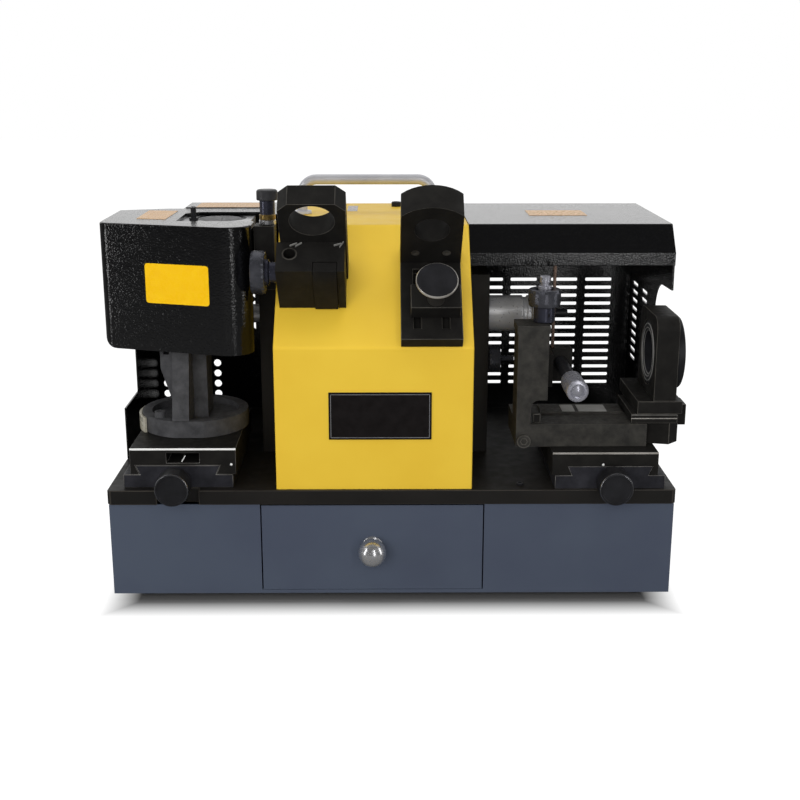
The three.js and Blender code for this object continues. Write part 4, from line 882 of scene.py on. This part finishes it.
@dataclass
class Hoods(Assembly):
    """The hoods over both wheels, and the covers and panels behind them."""

    fold: float = 1.3
    top_round: float = 1.2
    strips: Sequence[tuple[str, float, float, float]] = (
        ("left", -223.5, -221.7, 279.6), ("right", 227.7, 229.5, 290.8))
    guard: Sequence[tuple[Point, Point]] = (
        ((-137, 119, 98), (-120.5, 121, 149)), ((-128.6, 119, 149), (-120.5, 121, 250)))
    window_front: Point = (-170.5, -64.1, 0)
    window_back: Point = (-170.5, -2, 0)
    wall_origin: Point = (-219.007, -75.537, 0)
    wall_lean: float = -17.5
    labels: Sequence[tuple[str, str, float, Sequence[Pair]]] = (
        ("hood_top_label", "left_hood", 300, ((-204, -48), (-180, -53), (-179, 5), (-204, 8))),
        ("rear_cover_label", "machine", 294, ((-176, 79), (-117, 79), (-117, 122), (-176, 122))),
        ("right_hood_label", "machine", 293, ((120, 30), (170, 30), (170, 67), (120, 67))),
    )

    def dress(self) -> None:
        """Dresses the sheet work and its labels."""
        folded = Shape.of_node("right_hood").softened(self.fold, 4, 20, crosswise("right_hood"))
        self.refine("right_hood", CRACKLE, 0.35, 1, folded, 32)
        self.coat("right_back_panel", CRACKLE)
        self.coat("right_side_panel", CRACKLE)
        self.add_left_hood()
        self.refine("left_rear_cover", CRACKLE, 0.6)
        self.coat("left_back_panel", CRACKLE)
        self.refine("left_side_panel", CRACKLE, 0.3)
        self.refine("hood_hinge", OXIDE, 0.3)
        for side, left, right, top in self.strips:
            name = f"{side}_corner_strip"
            self.add_block(name, (left, 122.9, 95.1), (right, 124.5, top), CRACKLE, edge=0.3)
        guard = Shape()
        for box in self.guard:
            guard.joined(Shape.block(*box))
        self.place("left_inner_guard", guard.moved(DRAWING), CRACKLE)
        self.add_labels()

    def add_left_hood(self) -> None:
        """The left hood, with its top edge and its lower corners rounded."""
        _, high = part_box("left_hood")
        front, back = at(*self.window_front), at(*self.window_back)

        def top_edge(a: Vector, b: Vector) -> bool:
            """Whether an edge lies round the top, and not round the window in it."""
            in_window = all(p.x > front.x and front.y < p.y < back.y for p in (a, b))
            return min(a.z, b.z) > high.z - NEAR and not in_window

        shape = Shape.of_node("left_hood").softened(self.top_round, 3, 60, top_edge)
        self.refine("left_hood", CRACKLE, 0.4, 2, shape, 32)

    def add_labels(self) -> None:
        """Plain labels where the machine carries its labels."""
        sheet = Shape.block((27.9, 238.7, -0.1), (82.1, 270, 0.2))
        sheet.softened(2.4, 5, 60, lambda a, b: abs(a.z - b.z) > 2 * NEAR)
        face = place_at(*self.wall_origin) @ about_z(self.wall_lean) @ FACING
        self.place("hood_label", sheet.moved(face), YELLOW_FILM, "left_hood")
        for name, body, height, outline in self.labels:
            sheet = Shape.pressed(outline, 0.02, 0.2).softened(0.08, 1)
            self.place(name, sheet.moved(place_at(0, 0, height)), PEACH_FILM, body)


@dataclass
class Slides(Assembly):
    """Both dovetail feed slides with their knobs."""

    knob_radius: float = 13.0
    knob_round: float = 1.2
    knob_width: float = 19.0
    strip: float = 1.15
    proud: float = 0.12
    grub: Profile = ((0, 0), (1, 0), (1, 0.12), (0.8, 0.2), (0, 0.2))
    leaf: Profile = ((-1.9, -2.6), (-1.1, -2.8), (1.4, 1.6), (1.7, 2.6), (0.6, 1.7))

    def dress(self) -> None:
        """Dresses bases, carriages and knobs, and paints highlights along the front edges and glints on
        the gib screws and a socket.
        """
        for side, finish in (("left", WHITE_PAINTED_HIGHLIGHT), ("right", PALE_PAINTED_HIGHLIGHT)):
            self.refine(f"{side}_slide_base", SLIDE_STEEL, 0.5, 1, edge_finish=BARE_EDGE_AND_HIGHLIGHT)
            self.add_carriage(f"{side}_carriage")
            self.add_knob(side)
            self.add_front_highlight(f"{side}_carriage", finish)
        # White discs that paint glints on the gib screws.
        for side, along_share, height in (("left", 0.957, 114.3), ("right", 0.48, 115)):
            low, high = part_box(f"{side}_carriage")
            spot = Vector((low.x + (high.x - low.x) * along_share, low.y, height * MM))
            place = Matrix.Translation(spot) @ FACING
            self.add_turned(f"{side}_gib_screw_painted_glint", self.grub, place, WHITE_PAINTED_HIGHLIGHT, f"{side}_carriage", 20)
        # A white leaf that paints a glint in a socket.
        place = place_at(-164.7, -110.5, 118.6) @ FACING
        leaf = Shape.pressed(self.leaf, -1, -0.2).moved(place)
        self.place("socket_painted_glint", leaf, WHITE_PAINTED_HIGHLIGHT, "left_carriage")

    def add_carriage(self, node: str) -> None:
        """The carriage, with the cut along its front top edge and lighter edges for wear and a painted
        highlight.
        """
        low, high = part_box(node)

        def top_front(a: Vector, b: Vector) -> bool:
            """Whether an edge is the carriage's front top edge."""
            return all(p.y < low.y + NEAR and p.z > high.z - NEAR for p in (a, b))

        shape = Shape.of_node(node).softened(self.strip, 1, 60, top_front)
        self.refine(node, OXIDE, 0.3, 1, shape, edge_finish=BARE_EDGE_AND_HIGHLIGHT)

    def add_knob(self, side: str) -> None:
        """The smooth feed knob with its bright rim, its neck and its screw."""
        node = f"{side}_feed_knob"
        start, length = Axis.Y.start_of(node)
        low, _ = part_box(node)
        start.y = low.y
        base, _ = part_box(f"{side}_slide_base")
        shoulder = (base.y - low.y) / MM - 0.3
        radius, small, width = self.knob_radius, self.knob_round, self.knob_width
        front = arc(radius - small, small, small, range(-90, 1, 18))
        back = arc(radius - small, width - small, small, range(0, 91, 18))
        profile = (
            (0, 0.35), (radius - 2.2, 0.35), (radius - 1.9, 0), *front, *back, (6, width),
            (6, shoulder), (4, shoulder), (4, length), (0, length))
        place = Matrix.Translation(start) @ FACING.inverted()
        self.stand_in(node, Shape.turned(profile).moved(place), OXIDE_ROUND, 35)
        rim = (
            (radius - 1, 0.5), (radius - 0.7, 0.05), (radius - 0.1, 0.6), (radius + 0.05, 1.1),
            (radius - 0.6, 1.2), (radius - 1, 0.5))
        self.add_turned(f"{node}_rim", rim, place, POLISHED, f"{side}_feed", smooth=50)

    def add_front_highlight(self, node: str, finish: Finish) -> None:
        """A painted highlight along the carriage's front edge: a bright strip laid on its bevel."""
        low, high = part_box(node)
        size, proud = self.strip, self.proud
        outline = ((-proud, proud - size), (size - proud, proud), (size + 0.2, -0.6), (0.6, -size - 0.2))
        section = Shape.pressed(outline, 0, (high.x - low.x) / MM)
        turn = Matrix(((0, 0, 1, low.x), (1, 0, 0, low.y), (0, 1, 0, high.z), (0, 0, 0, 1)))
        self.place(f"{node}_bevel", section.moved(turn), finish, node)


@dataclass
class LeftStation(Assembly):
    """The swivelling bracket, its scale and the chuck seat under the left hood."""

    centre: Pair = (-164, -42)
    scale_end: float = 214.0
    first_mark: float = 168.0
    mark_step: float = 4.5
    mark_reach: Pair = (46.55, 46.66)
    pin: Profile = (
        (0, 296), (3.55, 296), (3.55, 299), (2.25, 299.1), (2.25, 307.4), (1.6, 308.15),
        (0, 308.15))
    ring: Profile = (
        (17.05, 296.1), (21.6, 296.1), (21.6, 296.5), (21.2, 296.65), (17.4, 296.65), (17.05, 296.4),
        (17.05, 296.1))

    def dress(self) -> None:
        """Dresses the bracket, the seat plate with its blackened fittings, and the scale."""
        self.refine("left_bracket", BRACKET_IRON, 0.7, 3, smooth=36)
        self.refine("left_seat_plate", SMOOTH_GROUND, 0.4)
        self.add_scale()
        self.add_marks()
        pin_place, ring_place = place_at(-160.5, -33, 0), place_at(-141, -16, 0)
        self.add_turned("locating_pin", self.pin, pin_place, OXIDE_ROUND, "left_bracket", 32)
        self.add_turned("seat_bore_ring", self.ring, ring_place, OXIDE_ROUND, "left_bracket")

    def add_scale(self) -> None:
        """The bright scale, cut where the bracket's shade hides it."""
        shape = Shape.of_node("swivel_scale")
        bm = shape.bm
        angle = math.radians(self.scale_end)
        cut = bmesh.ops.bisect_plane(
            bm, geom=[*bm.verts, *bm.edges, *bm.faces], plane_co=at(*self.centre, 0),
            plane_no=Vector((-math.sin(angle), math.cos(angle), 0)), clear_outer=True)["geom_cut"]
        bmesh.ops.holes_fill(bm, edges=[item for item in cut if isinstance(item, bmesh.types.BMEdge)])
        self.refine("swivel_scale", CREAM_STEEL, 0.15, 1, shape)

    def add_marks(self) -> None:
        """Engraved lines on the scale."""
        _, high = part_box("swivel_scale")
        near, far = self.mark_reach
        marks = Shape()
        for index in range(10):
            tall = 3.2 if index % 5 else 5.5
            turn = about_z(self.first_mark + self.mark_step * index)
            mark = Shape.block((near, -0.16, 0), (far, 0.16, tall))
            marks.joined(mark.moved(place_at(*self.centre, high.z / MM - tall - 0.3) @ turn))
        self.place("scale_marks", marks, PLATE_FILM, "left_carriage")


@dataclass
class RightStation(Assembly):
    """The arm with the tooth rest, its micrometer, and the chuck seat."""

    bolt_edge: Profile = ((4.6, -0.3), (4.7, 0.12), (5.35, 0.1), (5.5, -0.3), (4.6, -0.3))
    socket_edge: Profile = ((2.4, -0.3), (2.5, 0.12), (3.1, 0.1), (3.3, -0.3), (2.4, -0.3))
    knob_radius: float = 13.0
    knob_span: Pair = (19.2, 32.2)
    collar: Profile = (
        (0, 0), (4.2, 0), (4.2, 6.3), (8, 6.3), (8.5, 6.8), (8.5, 18.6), (8, 19), (0, 19))
    knob_ends: Sequence[Profile] = (
        ((0, 18.8), (12, 18.8), (12.3, 19.3), (0, 19.3)),
        ((0, 32.1), (12.3, 32.1), (11.6, 32.5), (8, 32.5), (7.2, 32.2), (0, 32.2)),
    )
    pin: Profile = (
        (0, 32), (5.4, 32), (5.4, 34.6), (5, 35), (3.4, 35.2), (3.4, 37.2), (4.2, 37.8),
        (4.2, 42), (3.5, 42.8), (0, 42.8))
    eye: Profile = ((0, 0), (1.6, 0), (1.6, 0.1), (1.2, 0.12), (1.2, -0.9), (0, -0.9))
    thimble_marks: int = 25
    flange_width: float = 6.0

    def dress(self) -> None:
        """Dresses the arm, the tooth rest and the seat."""
        # The arm's and seat's rounded edges take the lighter finish: wear and a painted highlight.
        self.refine("right_arm", IRON, 0.6, 2, smooth=36, edge_finish=WORN_EDGE_AND_HIGHLIGHT)
        self.add_arm_fittings()
        self.add_lift_knob()
        self.refine("rest_holder", OXIDE, 0.4)
        self.add_micrometer()
        self.refine("tooth_rest_blade", COPPER, 0.25)
        self.refine("seat_base", OXIDE, 0.4, edge_finish=WORN_EDGE_AND_HIGHLIGHT)
        self.refine("seat_deck", OXIDE, 0.5, edge_finish=WORN_EDGE_AND_HIGHLIGHT)
        self.refine("seat_block", OXIDE, 0.6, smooth=32, edge_finish=WORN_EDGE_AND_HIGHLIGHT)
        self.add_bush()

    def add_arm_fittings(self) -> None:
        """The rail's plates, the clip beside the post, lighter rings on the bolt's edges for wear and a
        painted highlight, and strips that paint highlights along the seat deck.
        """
        body = "right_carriage"
        for index, (left, right) in enumerate(((140, 150.5), (153.5, 176.5))):
            low, high = (left, -68.5, 144.7), (right, -49, 145.1)
            self.add_block(f"rail_plate_{index}", low, high, DULL_EDGE, body, 0.15, 1)
        low, high = (112.6, -97, 143.2), (118.6, -93.6, 151)
        self.add_block("post_clip", low, high, OXIDE, body, 0.7, 2, WORN_EDGE_AND_HIGHLIGHT)
        # Lighter rings on the bolt's head and socket edges: wear and a painted highlight.
        ring = Shape.turned(self.bolt_edge, 40).joined(Shape.turned(self.socket_edge, 6))
        bolt = place_at(105.1, -103.6, 129.8) @ FACING
        self.place("arm_bolt_edges", ring.moved(bolt), WORN_EDGE_AND_HIGHLIGHT, body)
        # Two strips that paint highlights along the seat deck's edges.
        strips = ((147.2, 148, PALE_PAINTED_HIGHLIGHT), (149.9, 150.9, DIM_PAINTED_HIGHLIGHT))
        for index, (low, high, finish) in enumerate(strips):
            start, end = (190.4, -99.75, low), (227.1, -99.3, high)
            self.add_block(f"seat_painted_highlight_{index}", start, end, finish, body, 0.12, 1)

    def add_lift_knob(self) -> None:
        """The knurled knob on the post, its collar, the pin on top, and a dark disc that paints the shade
        in the collar's hole.
        """
        start, _ = Axis.Z.start_of("lift_knob")
        place = Matrix.Translation(start)
        self.add_turned("lift_knob_collar", self.collar, place, STEM_STEEL, "lift_knob", 64)
        knob = Shape.drum(self.knob_radius, *self.knob_span, points=30, rows=5, depth=0.85)
        for profile in self.knob_ends:
            knob.joined(Shape.turned(profile, 64))
        self.stand_in("lift_knob", knob.moved(place), KNURL, 4)
        self.add_turned("lift_knob_pin", self.pin, place, SATIN_ALLOY, "lift_knob", 48)
        # A dark disc that paints the shade inside the collar's hole.
        hole = Matrix.Translation(start + Vector((2, -8.2, 12.5)) * MM) @ FACING
        self.add_turned("lift_collar_hole_painted_shade", self.eye, hole, PLATE_FILM, "lift_knob", 24)

    def add_micrometer(self) -> None:
        """The sleeve and the chrome thimble with its domed end."""
        _, length = Axis.Y.start_of("micrometer_sleeve")
        sleeve = ((0, 0), (5.2, 0), (5.2, length - 0.4), (4.8, length), (0, length))
        self.turn("micrometer_sleeve", Axis.Y, sleeve, OXIDE_ROUND, 48)
        start, length = Axis.Y.start_of("micrometer_thimble")
        place = Axis.Y.through(start)
        thimble = Shape.turned((
            (5.6, 0), (6.9, 0), (8.2, 2.6), (8.2, 12), (8.4, 12.4), (8.4, length - 1.6),
            (7.9, length - 0.6), (6.9, length - 0.1), (5.6, length - 0.1), (5.2, length - 1.1),
            (4.6, length - 1.3), (3.6, length - 0.7), (2.2, length - 0.25), (0, length)), 80)
        bore = Shape.turned(((5.6, 0), (5.6, 17), (0, 17)), 80)
        bmesh.ops.reverse_faces(bore.bm, faces=bore.bm.faces)
        self.stand_in("micrometer_thimble", thimble.joined(bore).moved(place), SATIN_ALLOY, 30)
        marks = Shape()
        for index in range(self.thimble_marks):
            end = 1.5 if index % 5 else 2.34
            mark = Shape.block((7, -0.14, 0.3), (7.12, 0.14, end))
            marks.joined(mark.moved(about_z(360 / self.thimble_marks * index)))
        self.place("thimble_marks", marks.moved(place), PLATE_FILM, "thimble")

    def add_bush(self) -> None:
        """The flanged bush in the seat block, with stepped rims."""
        start, length = Axis.X.start_of("seat_bush")
        flange = length - self.flange_width
        profile = (
            (17, 1.2), (18, 0.6), (19.4, 0.6), (19.8, 0), (22.6, 0), (23, 0.5), (25.2, 0.5),
            (25.8, 0.9), (25.8, 4), (20.7, 4), (20.7, flange), (28.5, flange), (29, flange + 0.5),
            (29, length - 0.6), (28.4, length), (18, length), (17, length - 0.8), (17, 1.2))
        self.turn("seat_bush", Axis.X, profile, OXIDE_ROUND, 96, 30)
        for name, inner, foot in (("inner", 17.3, 0.85), ("middle", 19.5, 0), ("outer", 22.7, 0)):
            front, back = foot - 0.12, foot + 0.3
            rim = (
                (inner, back), (inner + 0.1, front), (inner + 0.6, front), (inner + 0.7, back),
                (inner, back))
            place = Axis.X.through(start)
            self.add_turned(f"seat_bush_{name}_rim", rim, place, DULL_EDGE, "right_seat")


@dataclass
class SlopeFixtures(Assembly):
    """The two setting fixtures on the cover's slope and the latch beside the hood."""

    hole_rim: Profile = (
        (4.75, -0.3), (4.75, 0.12), (5.7, 0.12), (5.9, -0.1), (5.9, -0.3), (4.75, -0.3))
    clips: Sequence[Pair] = ((-74.5, 24), (-70.5, 34), (-41, 20), (-38, 60))
    screw: Profile = (
        (0, -0.6), (1.3, -0.6), (1.4, -0.2), (2.4, 0), (2.9, 0.15), (3.3, 0.05), (3.3, -0.3),
        (0, -1.2))
    knob_radius: float = 16.8
    knob_span: Pair = (-107, -97)
    stem: Profile = (
        (0, -96.5), (10.2, -96.5), (10.2, -94.3), (8.4, -93.5), (8, -92.9), (8, -87.8),
        (5, -87.8), (5, -60.2), (0, -60.2))
    knob_ends: Sequence[Profile] = (
        ((0, -107.5), (15.1, -107.5), (15.9, -106.9), (0, -106.9)),
        ((0, -97.1), (15.9, -97.1), (15.1, -96.5), (0, -96.5)),
    )
    slider_knob: Profile = (
        (0, 0), (6.6, 0), (6.6, 13.2), (8.4, 14.4), (14.8, 21.6), (15.6, 22.6), (15.6, 24.3),
        (0, 24.3))
    slider_cap: Profile = (
        (0, 24.2), (15.3, 24.2), (15.3, 25.2), (15, 25.38), (1, 25.4), (0, 25.3))
    slider_rim: Profile = ((15.25, 25.3), (15.98, 24.6), (15.98, 23.6), (15.4, 23.2), (15.25, 25.3))
    head_length: float = 27.0

    def dress(self) -> None:
        """Dresses the fixtures, their knobs and the latch."""
        # The fixtures' rounded edges take the lighter finish: wear and a painted highlight.
        self.refine("left_fixture_block", OXIDE, 0.4, 1, edge_finish=WORN_EDGE_AND_HIGHLIGHT)
        self.refine("left_fixture_ring", OXIDE, 0.45, 2, smooth=32, edge_finish=WORN_EDGE_AND_HIGHLIGHT)
        self.refine("stop_finger", OXIDE, 0.4)
        self.add_block_details()
        self.add_finger_knob()
        self.refine("right_fixture_base", OXIDE, 0.4, 1, edge_finish=WORN_EDGE_AND_HIGHLIGHT)
        self.refine("right_fixture_arch", OXIDE, 0.5, 2, smooth=32, edge_finish=WORN_EDGE_AND_HIGHLIGHT)
        self.refine("fixture_slider", OXIDE, 0.45, 1, edge_finish=WORN_EDGE_AND_HIGHLIGHT)
        # Lighter screw heads on the arch: wear and a painted highlight.
        for index, x in enumerate((18.5, 43)):
            place = on_slope(x, 72.3, 24) @ FACING
            self.add_turned(f"arch_screw_{index}", self.screw, place, WORN_EDGE_AND_HIGHLIGHT, segments=32)
        self.add_slider_knob()
        self.refine("latch_block", OXIDE, 0.4, 1, edge_finish=WORN_EDGE_AND_HIGHLIGHT)
        self.add_plunger()

    def add_block_details(self) -> None:
        """The hole's lighter rim for wear and a painted highlight, a dark patch that paints the shade in
        the square hole in the front, and the bright clips of the left block.
        """
        self.add_turned("block_hole_rim", self.hole_rim, on_slope(-77.3, 53.4, 48.3), WORN_EDGE_AND_HIGHLIGHT, segments=40)
        # A thin dark patch that paints the shade inside the square hole.
        pit = Shape.block((-68.9, 36.9, 25.4), (-66.9, 37.2, 27.4))
        self.place("block_square_hole_painted_shade", pit.moved(on_slope()), PLATE_FILM)
        for index, (x, turn) in enumerate(self.clips):
            clip = Shape.block((-3, -0.35, -0.3), (3, 0.35, 1.5)).softened(0.25, 2)
            place = on_slope(x, 61.6, 48.4) @ about_z(turn)
            self.place(f"block_clip_{index}", clip.moved(place), DULL_EDGE)

    def add_finger_knob(self) -> None:
        """The knurled knob that runs the stop finger in and out, on its stem."""
        place = on_slope() @ Axis.X.through(Vector((0, 50, 29.3)) * MM)
        self.add_turned("finger_knob_stem", self.stem, place, STEM_STEEL, "finger_knob", 56)
        head = Shape.drum(self.knob_radius, *self.knob_span, points=56, rows=6, depth=0.65)
        for profile in self.knob_ends:
            head.joined(Shape.turned(profile, 64))
        self.stand_in("finger_knob", head.moved(place), KNURL, 4)

    def add_slider_knob(self) -> None:
        """The knurled clamp knob of the right fixture: a side lighter than its cap, and a pale rim that
        paints its highlight.
        """
        place = on_slope(33.65, 27.6, 25.3)
        self.stand_in("slider_knob", Shape.turned(self.slider_knob).moved(place), KNOB_SIDE, 30)
        self.add_turned("slider_knob_cap", self.slider_cap, place, OXIDE_ROUND, "slider_knob")
        # A pale rim that paints the knob's highlight.
        self.add_turned(
            "slider_knob_rim", self.slider_rim, place, PALE_PAINTED_HIGHLIGHT, "slider_knob", smooth=50)

    def add_plunger(self) -> None:
        """The spring plunger: rod, bright rings, stem and cap."""
        start, total = Axis.Z.start_of("index_plunger")
        place, ring = Matrix.Translation(start), total - self.head_length
        rod = Shape.turned(((0, 0), (2.4, 0), (3, 0.6), (3, ring), (0, ring)), 32)
        parts = (
            ("", CHROME, ((0, 0), (6.2, 0), (6.6, 0.4), (6.6, 3.2), (6, 3.6), (0, 3.6))),
            ("ring", BRASS, ((0, 3.6), (6, 3.6), (6.4, 4), (6.4, 7.4), (6, 7.8), (0, 7.8))),
            ("stem", STEM_STEEL, ((0, 7.8), (6, 7.8), (6, 18.8), (0, 18.8))),
            ("cap", CAP_STEEL, (
                (0, 18.8), (7.8, 18.8), (8.3, 19.3), (8.3, 25.6), (7.9, 26.4), (7, 27), (0, 27))),
        )
        for name, finish, profile in parts:
            shape = Shape.turned([(radius, ring + height) for radius, height in profile], 56)
            if name:
                self.place(f"plunger_{name}", shape.moved(place), finish, "index_plunger")
            else:
                self.stand_in("index_plunger", rod.joined(shape).moved(place), finish)


@dataclass(frozen=True)
class Lamp:
    """A soft area lamp that looks at a point, and that gloss shows only when it is mirrored."""

    name: str
    place: Point
    target: Point
    size: Pair
    power: float
    mirrored: bool = False

    def hang(self) -> None:
        """Adds the lamp."""
        data = bpy.data.lights.new(self.name, "AREA")
        data.shape = "RECTANGLE"
        data.size, data.size_y = self.size
        data.energy = self.power
        lamp = bpy.data.objects.new(self.name, data)
        lamp.location = self.place
        lamp.visible_glossy = self.mirrored
        aim = Vector(self.target) - Vector(self.place)
        lamp.rotation_euler = aim.to_track_quat("-Z", "Y").to_euler()
        bpy.context.scene.collection.objects.link(lamp)


@dataclass
class Studio:
    """The floor, the lights, the world and the camera."""

    camera_place: Point = (-0.01081, -1.024115, 0.4208)
    camera_pitch: float = 74.6654
    camera_roll: float = -0.4069
    lens: float = 55.436
    shift: float = 0.00944
    floor_reach: float = 6.0
    footprint: Sequence[tuple[str, float, float]] = (("X", -4.8, 203), ("Y", 19.6, 124))
    shade_start: float = 1.5
    shade_end: float = 32.0
    floor_albedo: float = 0.2
    mirror_share: float = 0.06
    ambient: float = 0.25
    front_room: float = 0.1
    room_span: Pair = (-0.2, 0.9)
    lamps: Sequence[Lamp] = (
        Lamp("top_softbox", (0, -0.1, 1.25), (0, 0, 0.1), (1.3, 0.9), 5.6),
        Lamp("front_fill", (-0.35, -1.65, 0.62), (0, 0, 0.15), (1.1, 0.9), 13.9),
        Lamp("left_strip", (-1.1, -0.57, 0.5), (-0.1, 0, 0.18), (0.12, 1), 3, True),
        Lamp("right_strip", (1.2, -0.35, 0.5), (0.1, 0, 0.18), (0.2, 1), 2.2, True),
        Lamp("nose_strip", (0.38, -1.23, 0.5), (0, 0, 0.2), (0.14, 1), 2.2, True),
    )

    def set_up(self) -> None:
        """Makes the stage."""
        self.add_floor()
        self.add_world()
        for lamp in self.lamps:
            lamp.hang()
        self.add_camera()
        bpy.context.scene.view_settings.view_transform = "Standard"

    def add_floor(self) -> None:
        """A wide pale floor that keeps the machine's shadow, with a painted shadow round its foot where
        its glow is held back.
        """
        bm = bmesh.new()
        bmesh.ops.create_grid(bm, x_segments=1, y_segments=1, size=self.floor_reach)
        mesh = bpy.data.meshes.new("floor")
        bm.to_mesh(mesh)
        bm.free()
        floor = bpy.data.objects.new("floor", mesh)
        bpy.context.scene.collection.objects.link(floor)
        material = bpy.data.materials.new("pale_floor")
        material.use_nodes = True
        graph = Graph(material.node_tree)
        graph.tree.nodes.clear()
        kinds = ("BsdfDiffuse", "Emission", "AddShader", "OutputMaterial")
        matte, glow, both, out = (graph.add(kind) for kind in kinds)
        # The glow is held back round the machine's foot, which paints a shadow there.
        own_white = graph.maths(
            "MULTIPLY", self.seen_rays(graph, self.mirror_share), self.glow_past_painted_shadow(graph))
        graph.feed(matte.inputs["Color"], (*[self.floor_albedo] * 3, 1))
        graph.feed(glow.inputs["Strength"], own_white)
        graph.feed(both.inputs[0], matte.outputs["BSDF"])
        graph.feed(both.inputs[1], glow.outputs["Emission"])
        graph.feed(out.inputs["Surface"], both.outputs["Shader"])
        mesh.materials.append(material)

    def glow_past_painted_shadow(self, graph: Graph) -> Socket:
        """The floor's glow: nothing at the machine's foot, rising to one a little way off, which paints a
        shadow round the foot.
        """
        split = graph.add("SeparateXYZ")
        graph.feed(split.inputs["Vector"], graph.add("TexCoord").outputs["Object"])
        sides = []
        for name, middle, half in self.footprint:
            centred = graph.maths("SUBTRACT", split.outputs[name], middle * MM)
            sides.append(graph.maths("SUBTRACT", graph.maths("ABSOLUTE", centred), half * MM))
        beyond = graph.maths("MAXIMUM", *sides)
        return graph.mapped(beyond, self.shade_start * MM, self.shade_end * MM, 0, 1)

    def seen_rays(self, graph: Graph, mirror_share: float) -> Socket:
        """One for rays that show the background straight or through glass, and a share in metal."""
        path = graph.add("LightPath").outputs
        mirrored = graph.maths("MULTIPLY", path["Is Glossy Ray"], mirror_share)
        straight = graph.maths("MAXIMUM", path["Is Camera Ray"], mirrored)
        return graph.maths("MAXIMUM", straight, path["Is Transmission Ray"])

    def add_world(self) -> None:
        """White where the background shows, and a soft even light elsewhere."""
        world = bpy.data.worlds.new("studio")
        world.use_nodes = True
        graph = Graph(world.node_tree)
        background = graph.tree.nodes["Background"]
        split = graph.add("SeparateXYZ")
        graph.feed(split.inputs["Vector"], graph.add("TexCoord").outputs["Generated"])
        room = graph.mapped(split.outputs["Y"], *self.room_span, self.front_room, 1)
        direct = graph.maths("MAXIMUM", graph.add("LightPath").outputs["Is Camera Ray"], room)
        level = graph.add("Mix")
        for name, value in (("Factor", self.seen_rays(graph, 1)), ("A", self.ambient), ("B", direct)):
            graph.feed(level.inputs[name], value)
        graph.feed(background.inputs["Color"], (1, 1, 1, 1))
        graph.feed(background.inputs["Strength"], level.outputs["Result"])
        bpy.context.scene.world = world

    def add_camera(self) -> None:
        """The photograph's viewpoint."""
        data = bpy.data.cameras.new("camera")
        data.sensor_width = 36.0
        data.lens = self.lens
        data.shift_x = self.shift
        data.clip_start = 0.01
        camera = bpy.data.objects.new("camera", data)
        camera.location = self.camera_place
        camera.rotation_euler = (math.radians(self.camera_pitch), 0.0, math.radians(self.camera_roll))
        bpy.context.scene.collection.objects.link(camera)
        bpy.context.scene.camera = camera


def main() -> None:
    """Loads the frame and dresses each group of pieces."""
    logging.basicConfig(level=logging.INFO, format="%(name)s: %(message)s")
    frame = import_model()
    groups = frame["record"]["behaviour"]["bodies"]
    body_of = {node: body for body, nodes in groups.items() for node in nodes}
    for kind in (Base, CentreCover, Spindle, Hoods, Slides, LeftStation, RightStation, SlopeFixtures):
        LOG.info("dressing %s", kind.__name__)
        kind(body_of).dress()
    Studio().set_up()


if __name__ == "__main__":
    main()
